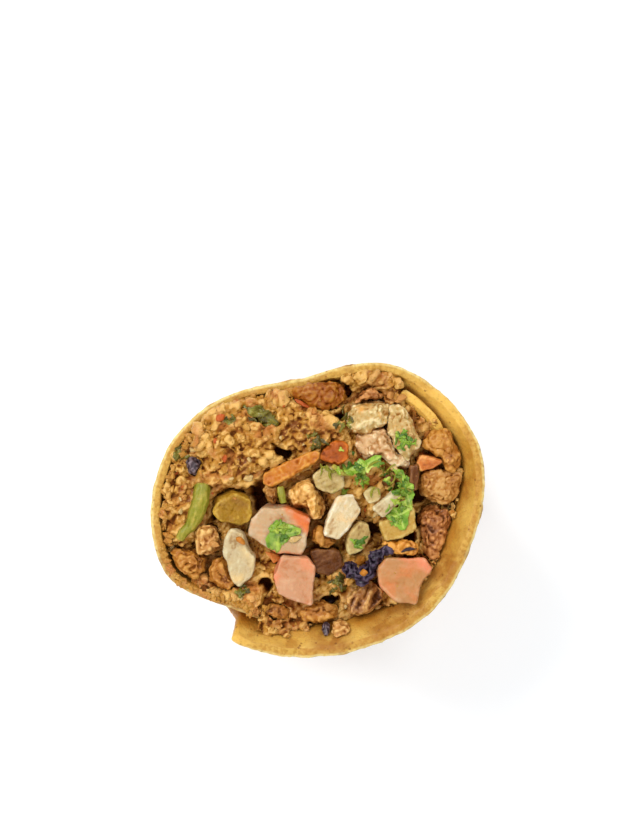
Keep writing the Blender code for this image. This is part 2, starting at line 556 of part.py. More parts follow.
def cavity(inset):
    """Room inside the wrap, smaller all over by inset, and by more among the folds.

    It starts where the second layer ends, and goes once round. Above the
    second layer's cut edge it is as wide as the first layer leaves it.
    """
    below = (0.0, 0.12, 0.35, 0.6, 0.8, 0.88, 0.94, 1.0)
    beyond = (0.0, 0.25, 0.5, 0.75, 1.0)
    rings = [[] for _ in range(len(below) + len(beyond) + 1)]
    floor = FLOOR + inset
    start = OVERLAP + math.degrees(inset / (FOOT_SHARE * BODY_Y))
    for k in range(TURN_STEPS + 1):
        turned = start + TURN * k / TURN_STEPS
        doubled = turned > 360.0
        under = turned - 360.0 if doubled else turned
        edge = inset + second_edge(under)
        if not doubled:
            onward = (turned - OVERLAP) / (360.0 - OVERLAP)
            edge = inset + mix(second_edge(OVERLAP), second_edge(0.0), onward)
        points = []
        for share in below:
            z = mix(floor, edge, share)
            level = min(z, HEIGHT)
            radius = second_outer(under, level) - WALL if doubled else first_inner(turned, level)
            radius -= inset * mix(FOLD_CLEAR, 1.0, smoothstep(z / PLEATS_TOP))
            radius -= FLOOR / 2 * smoothstep(1.0 - (z - floor) / FOOT_ROUND)
            points.append(polar(radius, seam_at(level) + turned, z))
        margin = inset + LEDGE if doubled else inset
        lowest = edge + EDGE_SLANT
        heights = [mix(lowest, max(lowest, HEIGHT) + EDGE_SLANT, share) for share in beyond]
        for z in heights + [HEIGHT + ABOVE]:
            level = min(z, HEIGHT)
            wide = first_inner(under, level) - margin
            points.append(polar(wide, seam_at(level) + turned, z))
        for ring, point in zip(rings, points):
            ring.append(point)
    return loft("cavity", rings)


def slit():
    """Open space between the two layers near the cut face.

    It runs a little past the seam and past the second layer's end, and out
    through the cut face.
    """
    rows = 8
    steps = 30
    rings = []
    for row in range(rows + 1):
        outside = []
        inside = []
        for k in range(steps + 1):
            turned = mix(-SLIT_PAST[0], OVERLAP + SLIT_PAST[1], k / steps)
            under = min(max(turned, 0.0), OVERLAP)
            z = mix(HEIGHT - SLIT_FLOOR, HEIGHT + 3 * RIM_WAVE, row / rows)
            level = min(z, HEIGHT)
            back = LEDGE if turned > OVERLAP else 0.0
            proud = LEDGE if turned < 0.0 else 0.0
            outside.append(polar(first_inner(under, level) - back, seam_at(level) + turned, z))
            inside.append(polar(second_outer(under, level) + proud, seam_at(level) + turned, z))
        rings.append(outside + inside[::-1])
    return loft("slit", rings, band=True)


def make_tortilla():
    """Wound sheet: the roll less its cavity and the space between its layers."""
    roll = outer_solid()
    boolean(roll, [cavity(0.0)], "DIFFERENCE")
    boolean(roll, [slit()], "DIFFERENCE")
    simplify(roll, WRAP_FACES)
    return roll


# ---- separate pieces on the cut face ----------------------------------------

def set_down(bm, centre, top, turn, tilt):
    """Turn a piece about its middle, then put its highest point at top."""
    rotation = (Matrix.Rotation(math.radians(turn), 4, "Z")
                @ Matrix.Rotation(math.radians(tilt[0]), 4, "X")
                @ Matrix.Rotation(math.radians(tilt[1]), 4, "Y"))
    bm.transform(rotation)
    highest = max(vert.co.z for vert in bm.verts)
    bm.transform(Matrix.Translation((centre[0], centre[1], HEIGHT + top - highest)))


def make_dice(name, centre, top, depth, tilt, outline):
    """Knife-cut piece: an outline with a depth, its edges softened."""
    bm = bmesh.new()
    face = bm.faces.new([bm.verts.new((x, y, depth / 2)) for x, y in outline])
    result = bmesh.ops.extrude_face_region(bm, geom=[face])
    lower = [item for item in result["geom"] if isinstance(item, bmesh.types.BMVert)]
    for vert in lower:
        vert.co = Vector((vert.co.x * DICE_TAPER, vert.co.y * DICE_TAPER, -depth / 2))
    bmesh.ops.recalc_face_normals(bm, faces=bm.faces)
    bmesh.ops.bevel(bm, geom=bm.edges[:], offset=DICE_BEVEL, segments=1, affect="EDGES",
                    clamp_overlap=True)
    bmesh.ops.triangulate(bm, faces=bm.faces)
    set_down(bm, centre, top, 0.0, tilt)
    return new_object(name, bm)


def make_chunk(name, centre, top, depth, seed, outline):
    """Torn or chopped piece: an outline with rounded shoulders and an uneven surface."""
    shift = Vector((seed * 1.7, seed * 0.9, seed * 2.3))
    rings = []
    for width, height in CHUNK_RINGS:
        ring = []
        for x, y in outline:
            point = Vector((x * width, y * width, height * depth / 2))
            point.z += CHUNK_ROUGH * noise.noise(point * CHUNK_DETAIL + shift)
            ring.append(point)
        rings.append(ring)
    chunk = loft(name, rings)
    bm = bmesh.new()
    bm.from_mesh(chunk.data)
    bmesh.ops.recalc_face_normals(bm, faces=bm.faces)
    set_down(bm, centre, top, 0.0, (0, 0))
    bm.to_mesh(chunk.data)
    bm.free()
    return chunk


def make_leaf(name, centre, length, width, turn, lobes, top, below):
    """Thin lobed leaf that follows what it lies on; both faces are split alike."""
    tree = BVHTree.FromPolygons(*below)
    turned = Matrix.Rotation(math.radians(turn), 2)
    bm = bmesh.new()
    shares = (0.5, 1.0)
    lower, upper = [], []
    for share in (0.0,) + shares:
        row_low, row_up = [], []
        for k in range(LEAF_COLUMNS if share else 1):
            a = 2 * math.pi * k / LEAF_COLUMNS
            lobe = 1.0 - LEAF_LOBE * (0.5 - 0.5 * math.cos(lobes * a)) * share
            flat = turned @ Vector((length / 2 * lobe * share * math.cos(a),
                                    width / 2 * lobe * share * math.sin(a)))
            x, y = centre[0] + flat.x, centre[1] + flat.y
            hit = tree.ray_cast(Vector((x, y, HEIGHT + ABOVE)), Vector((0, 0, -1)))[0]
            ground = (hit.z if hit else HEIGHT + HEAP_LEVEL) + CLEAR
            wave = LEAF_WAVE * math.sin(3 * a + length) * share
            z = max(ground, HEIGHT + top - LEAF_SINK - LEAF_THICK) + wave
            row_low.append(bm.verts.new((x, y, z)))
            row_up.append(bm.verts.new((x, y, z + LEAF_THICK)))
        lower.append(row_low)
        upper.append(row_up)
    for k in range(LEAF_COLUMNS):
        j = (k + 1) % LEAF_COLUMNS
        for rows, facing in ((lower, -1), (upper, 1)):
            middle, near, far = rows[0][0], rows[1], rows[2]
            faces = ((middle, near[k], near[j]), (near[k], far[k], far[j]), (near[k], far[j], near[j]))
            for face in faces:
                bm.faces.new(face[::facing])
        a, b, c, d = lower[2][k], lower[2][j], upper[2][j], upper[2][k]
        bm.faces.new((a, b, c))
        bm.faces.new((a, c, d))
    bmesh.ops.recalc_face_normals(bm, faces=bm.faces)
    return new_object(name, bm)


def make_strand(name, points):
    """Round strand of changing thickness through its points, with pointed ends."""
    path = [Vector((x, y, HEIGHT + z)) for x, y, z, _ in points]
    rings = []
    last = len(path) - 1
    for k, point in enumerate(path):
        along = (path[min(k + 1, last)] - path[max(k - 1, 0)]).normalized()
        side = along.cross(Vector((0, 0, 1))).normalized()
        up = side.cross(along)
        radius = points[k][3]
        ring = []
        for j in range(STRAND_SIDES):
            a = 2 * math.pi * j / STRAND_SIDES
            ring.append(point + (side * math.cos(a) + up * math.sin(a)) * radius)
        rings.append(ring)
    return loft(name, rings)


# ---- the filling ------------------------------------------------------------

def heap_height(x, y):
    """Surface of the chopped filling, from the cut plane."""
    z = HEAP_LEVEL
    for mx, my, radius, lift in MOUNDS:
        z += lift * math.exp(-((x - mx) ** 2 + (y - my) ** 2) / radius ** 2)
    z += HEAP_ROUGH * noise.noise(Vector((x * HEAP_DETAIL, y * HEAP_DETAIL, 4.0)))
    degrees = math.degrees(math.atan2(y, x)) % 360.0
    under = (degrees - SEAM_ANGLE) % 360.0
    if under < OVERLAP:
        edge = second_outer(under, second_edge(under)) - WALL
        share = smoothstep(under / SLIT_BLEND) * smoothstep((math.hypot(x, y) - edge) / ROLL_WIDTH)
        z -= ROLL_OFF * share
    return z


def heap_block():
    """Filling as a block under the heap's surface, wider than the wrap."""
    steps = int(2 * HEAP_HALF / HEAP_GRID)
    bm = bmesh.new()
    bmesh.ops.create_grid(bm, x_segments=steps, y_segments=steps, size=HEAP_HALF)
    result = bmesh.ops.extrude_face_region(bm, geom=bm.faces[:])
    lower = [item for item in result["geom"] if isinstance(item, bmesh.types.BMVert)]
    lower_set = set(lower)
    for vert in bm.verts:
        x, y = vert.co.x, vert.co.y
        vert.co.z = HEIGHT + heap_height(x, y) if vert not in lower_set else FLOOR - HEAP_BELOW
    underside = [face for face in bm.faces if all(vert in lower_set for vert in face.verts)]
    bmesh.ops.dissolve_faces(bm, faces=underside)
    bmesh.ops.triangulate(bm, faces=bm.faces)
    bmesh.ops.recalc_face_normals(bm, faces=bm.faces)
    return new_object("filling", bm)


def piece_middle(piece):
    """Middle of a piece, seen on the cut face."""
    low, high = box_of(piece)
    return ((low + high) / 2).xy


def footprint(pieces):
    """Middle and reach of each piece on the cut face."""
    spots = []
    for piece in pieces:
        low, high = box_of(piece)
        spots.append(((low + high) / 2, (high.x - low.x + high.y - low.y) / 4))
    return spots


def make_crumbs(pieces):
    """Crumbs of chopped meat on the heap, clear of the larger pieces."""
    rng = random.Random(CRUMB_SEED)
    spots = footprint(pieces)
    crumbs = []
    placed = []
    while len(crumbs) < CRUMB_COUNT:
        size = rng.uniform(*CRUMB_SIZES)
        degrees = rng.uniform(0.0, 360.0)
        turned = (degrees - SEAM_ANGLE) % 360.0
        reach = first_inner(turned, HEIGHT) - 1.0
        if turned < OVERLAP:
            reach = second_outer(turned, HEIGHT) + 0.5
        spot = polar(reach * math.sqrt(rng.random()), degrees, 0.0)
        near_piece = any((spot.xy - middle.xy).length < span + 0.1 * size for middle, span in spots)
        near_crumb = any((spot - other).length < CRUMB_SPACING * (size + wide) for other, wide in placed)
        if near_piece or near_crumb:
            continue
        placed.append((spot, size))
        bm = bmesh.new()
        bmesh.ops.create_icosphere(bm, subdivisions=1, radius=size / 2)
        for vert in bm.verts:
            vert.co *= rng.uniform(*CRUMB_UNEVEN)
        turn = Matrix.Rotation(rng.uniform(0, 2 * math.pi), 4, Vector((rng.random(), rng.random(), 1)))
        bm.transform(turn @ Matrix.Diagonal((*CRUMB_SHAPE, 1.0)))
        bm.transform(Matrix.Translation((spot.x, spot.y, HEIGHT + heap_height(spot.x, spot.y))))
        crumbs.append(new_object("crumb", bm))
    return crumbs


def make_filling(pieces, rooms):
    """Heap of chopped meat: a core with crumbs on it, and room for the pieces."""
    heap = heap_block()
    boolean(heap, make_crumbs(pieces), "UNION")
    boolean(heap, [cavity(WRAP_CLEAR)], "INTERSECT")
    boolean(heap, [room_object(room) for room in rooms.values()], "DIFFERENCE")
    simplify(heap, FILLING_FACES)
    return heap


# ---- assembly ---------------------------------------------------------------

def settle(pieces, rooms):
    """Let each piece give way to those above it, and keep it off the wrap."""
    order = sorted(pieces, key=lambda piece: -box_of(piece)[1].z)
    for k, piece in enumerate(order):
        above = [other for other in order[:k] if boxes_meet(piece, other, 2 * CLEAR)]
        if above:
            boolean(piece, [room_object(rooms[other.name]) for other in above], "DIFFERENCE")
        if math.hypot(*piece_middle(piece)) > NEAR_WRAP:
            boolean(piece, [cavity(WRAP_CLEAR)], "INTERSECT")
        simplify(piece, PIECE_FACES)


def surface_of(objects):
    """Points and faces of several meshes together."""
    points, faces = [], []
    for obj in objects:
        start = len(points)
        points += [vert.co.copy() for vert in obj.data.vertices]
        faces += [[start + k for k in face.vertices] for face in obj.data.polygons]
    return points, faces


def make_pieces():
    """Every separate piece that shows on the cut face, with its material."""
    solid = []
    kinds = {}
    for name, kind, centre, top, depth, tilt, outline in DICE:
        solid.append(make_dice(name, centre, top, depth, tilt, outline))
        kinds[name] = kind
    for name, kind, centre, top, depth, seed, outline in CHUNKS:
        solid.append(make_chunk(name, centre, top, depth, seed, outline))
        kinds[name] = kind
    for name, kind, points in STRANDS:
        solid.append(make_strand(name, points))
        kinds[name] = kind
    below = surface_of(solid)
    leaves = []
    for name, kind, centre, length, width, turn, lobes, top in LEAVES:
        leaves.append(make_leaf(name, centre, length, width, turn, lobes, top, below))
        kinds[name] = kind
    pieces = solid + leaves
    rooms = {piece.name: room_mesh(piece) for piece in pieces}
    settle(pieces, rooms)
    return pieces, rooms, kinds


def linear(channel):
    """sRGB channel from 0 to 255 as a linear value."""
    c = channel / 255.0
    return c / 12.92 if c <= 0.04045 else ((c + 0.055) / 1.055) ** 2.4


def make_material(kind):
    """Plain Principled material in one food's colour."""
    colour, roughness = MATERIALS[kind]
    material = bpy.data.materials.new(kind)
    material.use_nodes = True
    shader = material.node_tree.nodes["Principled BSDF"]
    shader.inputs["Base Color"].default_value = (*[linear(c) for c in colour], 1.0)
    shader.inputs["Roughness"].default_value = roughness
    shader.inputs["Metallic"].default_value = 0.0
    return material


def finish(objects, kinds):
    """Centre everything over the origin, in metres, each object about its own middle."""
    corners = [corner for obj in objects for corner in box_of(obj)]
    middle = [(min(c[k] for c in corners) + max(c[k] for c in corners)) / 2 for k in range(2)]
    lowest = min(c.z for c in corners)
    parent = bpy.data.objects.new("burrito_half", None)
    bpy.context.scene.collection.objects.link(parent)
    materials = {}
    for obj in objects:
        low, high = box_of(obj)
        centre = (low + high) / 2
        obj.data.transform(Matrix.Scale(MM, 4) @ Matrix.Translation(-centre))
        obj.location = (centre - Vector((middle[0], middle[1], lowest))) * MM
        obj.parent = parent
        kind = kinds[obj.name]
        if kind not in materials:
            materials[kind] = make_material(kind)
        obj.data.materials.clear()
        obj.data.materials.append(materials[kind])


def main():
    """Build the half burrito."""
    for obj in list(bpy.data.objects):
        bpy.data.objects.remove(obj)
    tortilla = make_tortilla()
    pieces, rooms, kinds = make_pieces()
    filling = make_filling(pieces, rooms)
    for room in rooms.values():
        bpy.data.meshes.remove(room)
    kinds["tortilla"] = "tortilla"
    kinds["filling"] = "filling"
    finish([tortilla, filling] + pieces, kinds)


main()
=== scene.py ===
"""Looks of the burrito half: every solid of the frame gets its real surface.

All shapes are worked out in millimetres, in the frame's own axes, and turned
into metres when a mesh is made.
"""
import itertools
import math
import random

import bmesh
import bpy
import numpy as np
from mathutils import Matrix, Vector
from mathutils.bvhtree import BVHTree


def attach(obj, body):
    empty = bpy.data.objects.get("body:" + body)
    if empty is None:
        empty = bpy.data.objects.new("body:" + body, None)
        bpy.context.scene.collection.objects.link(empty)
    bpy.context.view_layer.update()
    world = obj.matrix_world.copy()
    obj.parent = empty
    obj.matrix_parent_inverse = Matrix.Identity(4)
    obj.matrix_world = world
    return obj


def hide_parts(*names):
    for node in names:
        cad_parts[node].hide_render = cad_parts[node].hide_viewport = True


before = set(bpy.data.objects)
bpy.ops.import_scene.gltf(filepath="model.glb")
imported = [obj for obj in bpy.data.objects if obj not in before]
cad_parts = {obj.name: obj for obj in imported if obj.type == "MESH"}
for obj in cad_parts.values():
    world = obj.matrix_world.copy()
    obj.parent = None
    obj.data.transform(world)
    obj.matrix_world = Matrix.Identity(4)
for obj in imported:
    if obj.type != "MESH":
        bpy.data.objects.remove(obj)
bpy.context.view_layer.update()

MM = 0.001
SAME_PLACE = 1e-6        # points this near to each other, in metres, are one
AXIS = np.array((0.424, 1.023))   # the roll's axis in the frame, in millimetres

# ---- the wrap, with the solid's own measures, in millimetres and degrees ----

HEIGHT = 76.0
WALL = 2.0
FLOOR = 6.0
SEAM_ANGLE = 236.0
SEAM_LEAN = -28.0
OVERLAP = 179.0
BODY_X = 35.2
BODY_Y = 28.2
BODY_SHIFT = (-0.4, -1.4)
BODY_FROM = 24.0
BODY_TO = 71.0
BELLY = 0.9
FLARE_DEPTH = 9.5
FLARE_CURVE = 1.8
FOOT_SHARE = 0.62
FOOT_ROUND = 18.0
FOOT_CURVE = 2.3
RIM = (
    (0, 36.5), (14, 35.7), (29, 34.8), (54, 33.6), (84, 34.8), (109, 34.8),
    (124, 36), (144, 38), (169, 37), (189, 35.2), (209, 31.2), (224, 29.2),
    (239, 30), (259, 33.2), (284, 36.7), (309, 38.1), (329, 37.3), (344, 32.6),
    (352, 30.2), (360, 28.9),
)
LIP = ((0, 4.15), (40, 4), (90, 3.4), (140, 2.6), (179, 2.2), (225, 1.5), (285, 1.5), (330, 0.6),
       (360, 0))
BACKING = ((0, 0), (26, 2.5), (80, 2.6), (120, 2), (150, 1.6), (179, 1.2), (205, 0), (360, 0))
SPREAD = ((0, 0.9), (30, 0.8), (60, 0.7), (110, 0.8), (145, 1.3), (179, 1.6))
DROP = ((0, -0.5), (3, 1), (10, 4.8), (24, 7.4), (45, 8.4), (90, 7.6), (128, 6), (148, 4.4),
        (162, 1.6), (179, 0.6))
SLIT_DEPTH = 8.0
SLIT_LEAST = 0.45
SLIT_BLEND = 20.0
RIM_WAVE = 0.35
# Folds of the closed end: direction, lean, depth, width, how far up it reaches.
PLEATS = (
    (20, 0.6, -2, 7, 32), (33, 0.6, 1, 6, 28), (68, -0.4, -1.2, 6, 24), (98, -0.5, -1.7, 6, 30),
    (150, 0.9, -2.3, 8, 38), (168, 0.9, 1.1, 7, 32), (205, -0.3, -1.5, 6, 26), (252, 0.4, -1.2, 6, 22),
    (300, 0.5, -2.1, 7, 34), (330, -0.8, -1.6, 6, 40),
)
PLEAT_START = 4.0
PLEAT_END = 14.0
SEAM_POINTS = (0.0, 0.25, 0.6, 1.0)   # degrees from a free edge, where the sheet thins
TURN_POINTS = 452
TOP_BAND = 12.0                       # finely divided band below the cut edge, outside
INNER_BAND = 15.0                     # and inside
ROUND_IN = 0.22                       # how far the cut edge is rounded off on its inner side
ROUND_OUT = 0.57                      # and on its outer side
TAPER = 1.5                           # how far the inner face draws in down to the floor

# ---- the pieces ----

# Each kind: voxel size, rounds of smoothing, then bump layers as
# (pattern, size, height). "lumps" are rounded with creases between them,
# "ridges" are sharp crests, and "puffs" swell between winding creases.
KINDS = {
    "meat": (0.26, 1, (("noise", 3.8, 0.55), ("puffs", 2.6, 0.30), ("fibre", 1.2, 0.22),
                       ("puffs", 1.4, 0.11), ("noise", 0.7, 0.17))),
    "chicken": (0.25, 1, (("noise", 3.4, 0.50), ("puffs", 2.8, 0.28), ("fibre", 1.1, 0.26),
                          ("puffs", 1.3, 0.08), ("noise", 0.8, 0.16))),
    "tomato": (0.22, 1, (("noise", 3.2, 0.26), ("fibre", 1.6, 0.10), ("noise", 0.9, 0.07))),
    "onion": (0.22, 3, (("noise", 2.8, 0.24), ("fibre", 0.9, 0.10), ("noise", 0.7, 0.05))),
    "potato": (0.24, 1, (("noise", 2.6, 0.26), ("noise", 1.2, 0.08), ("noise", 0.5, 0.06))),
    "pepper": (0.22, 1, (("noise", 3, 0.25), ("ridges", 1.6, 0.08), ("noise", 0.8, 0.06))),
    "ribbed": (0.25, 1, (("noise", 3, 0.30), ("fibre", 1.5, 0.55), ("noise", 0.7, 0.10))),
    "stem": (0.20, 2, (("noise", 2.4, 0.15), ("fibre", 0.5, 0.06))),
    "bean": (0.22, 1, (("noise", 1.8, 0.32), ("ridges", 1, 0.12), ("noise", 0.6, 0.08))),
    "skin": (0.20, 1, (("noise", 2.2, 0.55), ("ridges", 1.5, 0.40), ("fibre", 0.8, 0.22),
                       ("noise", 0.6, 0.12))),
}

# The pieces by food: each one's look (a material below) and the direction its grain runs.
GROUPS = {
    "meat": (("meat", 10), ("meat_tan", 60), ("meat_dark", 90), ("meat_light", 40), ("meat_tan", 0),
             ("meat_red", 10), ("meat_pale", 80), ("meat", 150), ("meat", 100), ("meat_gold", 0),
             ("meat_pale", 0), ("meat", 160), ("meat_dark", 10), ("meat", 0), ("meat", 170)),
    "chicken": (("chicken", 170), ("chicken", 105), ("chicken_pink", 165)),
    "tomato": (("tomato_pale", 0), ("tomato_pink", 0), ("tomato", 0), ("tomato_skin", 0)),
    "onion": (("onion_clear", 60), ("onion_cream", 80), ("onion_green", 20), ("onion_cream", 45),
              ("onion_tan", 70), ("onion_brown", 20), ("onion_striped", 66), ("onion_green", 0),
              ("onion_brown", 80)),
    "potato": (("potato", 0), ("potato_olive", 0)),
    "pepper": (("pepper", 30), ("pepper_skin", 120)),
    "stem": (("stem", 80), ("stem", 90), ("stem", 150)),
    "bean": (("bean", 0), ("bean", 0)),
}
PIECES = [(f"{food}_{k}", food, look, grain)
          for food, group in GROUPS.items() for k, (look, grain) in enumerate(group, 1)]
PIECES.append(("bean_skin", "bean", "bean_skin", 0))
# Pieces with another surface or slot than their food's own.
OTHER_KINDS = {"onion_7": "ribbed", "bean_skin": "skin"}
OTHER_SLOTS = {"stem": "cilantro", "red": "tomato"}

FIBRE_LENGTH = 5.0       # how many times longer a fibre is than wide
ROUGH_FOODS = ("meat", "chicken")
ROUGH_HOLLOW = 0.26      # depth at which a hollow counts in full, on these foods
FINE_HOLLOW = 0.16       # and on the others

# Skin on the sides of the diced pieces: node, direction, how far out it starts.
SKIN = {
    "tomato_1": ((38, 3.4), (268, 3.8)),
    "tomato_2": ((172, 3.2), (262, 4)),
    "tomato_3": ((60, 3.6), (200, 4.4)),
}

# Gaps between the pieces, pushed down and painted near black as shadow: x, y, radius, about the roll's
# axis.
GAPS = (
    (-14.6, 3, 2.7), (-14.2, 0.2, 2.1), (4.4, 19.9, 1.9), (6.2, 18.6, 1.4), (-8.2, 11.3, 1.4),
    (-10, 12.2, 0.9), (11.8, -5.4, 1.8), (21.3, 2.2, 1.6), (19.6, -8, 1.7), (5.2, 26.6, 1.4),
    (21.2, -2.8, 1.5), (2.3, -21.9, 1.8), (-0.6, -16.2, 1.5), (-12, -18.3, 1.7), (21.6, 10.4, 1.3),
    (-24.2, -1.6, 1.4), (8.4, -10.3, 1.5), (-15.4, -4.6, 1.3),
)
GAP_DEPTH = 4.2

# Round patches, each a centre about the roll's axis and a radius. Here the sheet's inner face and edge get
# painted light.
PAINTED_LIGHT = ((26.5, 21, 8), (20.9, 22.1, 7), (-19.5, -30.5, 5))
# Here sauce has browned the sheet's edge, and here grease has soaked into its inner face.
STAINED = ((-33.9, -13.5, 6), (-28.1, -19, 7), (-21.8, -20.9, 6), (-15, -22.5, 5))
GREASED = ((17, -24.7, 9), (27.5, -13, 6.5), (2, -29.5, 6), (31, 4, 5))
# Here sauce has browned the heap.
BROWNED = ((-4.5, -23.7, 9), (9, -21, 7), (-22, -17, 6), (12, 27, 6),
           (-27, 4, 5), (20, -12, 6))

# Leaves: node, look, centre, then the outline as it shows, about the roll's axis.
LEAVES = (
    ("cilantro_1", "leaf", (-9.4, -6),
     ((-9.9, -2.6), (-8.9, -3.6), (-7.3, -3.6), (-4.8, -5), (-4.4, -5.9), (-6.9, -6.7), (-8, -8.1),
      (-9.9, -10.1), (-11.9, -9.2), (-12.3, -7.1), (-11.5, -6), (-11.7, -4.6), (-10.6, -3.6))),
    ("cilantro_2", "leaf_bright", (9.6, 9.1),
     ((5.7, 7.9), (7.2, 9.3), (8.6, 10.8), (9.8, 10.2), (12, 11.6), (13.7, 11.5), (12.9, 10.2),
      (13, 9), (11.4, 8.8), (10.5, 7.5), (8.9, 7.9), (6.9, 7))),
    ("cilantro_3", "leaf_bright", (18.9, 4),
     ((17, 8.2), (18.2, 8.6), (18.6, 7), (19.6, 6.6), (19.5, 5.4), (20.8, 5), (20.5, 3.6),
      (21, 2.2), (20.3, 1.4), (20.2, -0.5), (18.7, -0.3), (18.9, 1.6), (17.9, 2.4), (17.9, 3.6),
      (16.9, 4.6), (17.6, 5.6), (16.8, 6.8))),
    ("cilantro_4", "leaf_bright", (17.4, -2),
     ((14, -2), (15.4, -1.2), (15.9, 0), (17.1, -0.2), (17.6, 1.2), (18.9, 1.6), (19.4, 0.4),
      (20.3, 0.2), (19.5, -1.2), (19.2, -2.4), (19.3, -3.6), (18.5, -4.9), (17.6, -5.2), (16.8, -4.4),
      (16.3, -4.6), (16, -3.4), (15, -3))),
    ("cilantro_5", "leaf_dark", (-12.7, 20.3),
     ((-16.8, 22.2), (-15.2, 22), (-13.7, 22.6), (-12.6, 21.7), (-11.2, 21.1), (-10.8, 19.9), (-9.4, 19),
      (-10, 18), (-12, 18.8), (-13.4, 18.6), (-14.3, 19.8), (-15.6, 20.2))),
    ("cilantro_6", "leaf_dark", (-31.7, 11.4),
     ((-32.8, 12), (-31.6, 12.8), (-30.9, 12), (-30.2, 11.4), (-30.8, 10.5), (-31.6, 10.7), (-32.3, 10.1),
      (-33, 11))),
)

LEAF_RINGS = 12
LEAF_COLUMNS = 120
LEAF_THICKNESS = 0.14
LEAF_SAG = 2.0           # how far a leaf hangs into what it spans
VEIN_WIDTH = 0.16

# Small pieces that lie loose: look, centre, length, width, height, turn.
BITS = (
    ("red_bit", (6, 25.6), 3, 2.2, 2, 70), ("red_bit", (-4.4, 23), 4.6, 1.1, 1, -24),
    ("onion_bit", (-16.2, 6.4), 2.4, 2, 1.6, 20), ("onion_bit", (16.2, 8.9), 2.4, 1.6, 1, -30),
    ("onion_brown", (14.8, 5.8), 3.6, 3, 2.2, 50), ("onion_bit", (-5.6, -6.9), 2.9, 1.6, 0.9, 20),
    ("meat_gold", (-17.7, -7.6), 1.9, 1.7, 1, 0), ("meat_gold", (9.1, -12.2), 2.6, 1.8, 1.8, 60),
    ("meat_gold", (9.4, -14.6), 1.6, 1.5, 1.4, 0), ("bean", (-0.9, -15.6), 3.2, 1.2, 1.4, 70),
    ("red_bit", (-22.4, 20.2), 2.6, 1.4, 1, 40), ("red_bit", (-21.4, 10.6), 1.8, 1.2, 0.9, 0),
    ("meat_pale", (17.4, 24), 2.6, 1.8, 1.6, 10), ("meat_pale", (15.2, 24.8), 2, 1.7, 1.4, 60),
    ("onion_bit", (12.4, -1.8), 2, 1.2, 0.9, 40), ("meat_tan", (1.6, -22.4), 3, 2, 1.6, 10),
    ("bean", (2.2, -21.8), 2.6, 1.2, 1.2, -20), ("bean", (19.6, -9.4), 3.2, 1.2, 1.2, 15),
    ("tomato_skin", (-10.6, -11.6), 5, 2.6, 2.6, -38), ("meat_pale", (-23.6, -8.2), 2, 1.6, 1, 0),
)

# Chopped herb that lies about: x, y, spread, count, look.
HERBS = (
    (8.6, 7, 4.6, 26, "leaf"), (17, 3.6, 4.2, 22, "leaf"), (14, 6.6, 4, 16, "stem"),
    (16.6, -2.6, 2.6, 8, "leaf"), (-9, -5.6, 3.2, 8, "leaf"), (8.6, -8, 1.2, 7, "leaf"),
    (-14, 20.4, 3.4, 9, "leaf_dark"), (-20, 19.4, 2.2, 7, "leaf_dark"),
    (18.8, 14.4, 2.2, 16, "leaf"), (5.6, 19.4, 2.6, 10, "leaf_dark"), (-0.6, 14, 2.2, 8, "leaf_dark"),
    (4.6, -18.2, 3, 12, "leaf_dark"), (-31, 11.4, 1.4, 5, "leaf_dark"),
    (1.6, 7.6, 2.4, 7, "stem"), (-17, -18.6, 1.6, 5, "leaf_dark"),
)

BIT_LAYERS = (("noise", 1.2, 0.14), ("noise", 0.5, 0.05))

# The heap: where its rough upper part begins, its mesh, and its relief as for the kinds above.
HEAP_FROM = HEIGHT - 10.0
HEAP_VOXEL = 0.33
HEAP_GRAIN = 35
HEAP_LAYERS = (("noise", 7, 0.6), ("puffs", 7, 0.85), ("lumps", 4.2, 0.30), ("ridges", 2.8, 0.34),
               ("puffs", 1.6, 0.26), ("fibre", 1.2, 0.42), ("noise", 0.75, 0.22))
HEAP_LUMPS = 90
CLEARANCE = 0.5          # how far the heap stays below a piece's top

# Crumbs that lie about: name, seed, look, slot; on the heap also count, least and largest size,
# and the share left on pieces.
CRUMBS = (
    ("mince_coarse", 5, "mince", "filling", 70, (1, 2.4), 0.02),
    ("mince_fine", 7, "mince_light", "filling", 420, (0.35, 0.9), 0.05),
    ("mince_wall", 13, "mince", "filling"),
    ("onion_bits", 9, "onion_bit", "onion", 12, (1, 2.2), 0.1),
    ("red_bits", 11, "red_bit", "tomato", 12, (0.6, 1.5), 0.1),
)
WALL_CRUMBS = 420        # where the heap meets the wrap
SPILLED_CRUMBS = 130     # on the sheet's browned edge

# ---- the stage, in metres ----

FLOOR_REACH = 900                  # in millimetres, to each side
SKY_COLOUR = (0.985, 0.995, 1.0, 1.0)
SKY_STRENGTH = 0.50
# Lamps: name, place, size, power.
LAMPS = (
    ("key", (-0.40, 0.36, 0.72), 0.34, 4.4),
    ("fill", (-0.22, -0.5, 0.6), 0.6, 3.2),
    ("back", (0.42, 0.5, 0.62), 0.50, 3.2),
)
LAMPS_MEET = (0, 0, 0.07)
SENSOR = 36.0                      # in millimetres
PHOTO_HEIGHT = 827                 # in pixels
PIXEL = 0.000222                   # true size of a pixel at the cut face
CAMERA_UP = 0.350                  # above the cut face
CAMERA_OVER = (0.00017, 0.02171)   # above this place, which is the photograph's middle


# ---- noise ----

def hashed(cells, seed):
    """Repeatable random number from 0 to 1 for each whole-number cell."""
    x, y, z = (cells[:, k].astype(np.int64) for k in range(3))
    h = (x * 374761393 + y * 668265263 + z * 1440662683 + seed * 97471111) & 0xFFFFFFFF
    h = ((h ^ (h >> 13)) * 1274126177) & 0xFFFFFFFF
    h = ((h ^ (h >> 15)) * 2246822519) & 0xFFFFFFFF
    return ((h ^ (h >> 16)) & 0xFFFF) / 65535.0


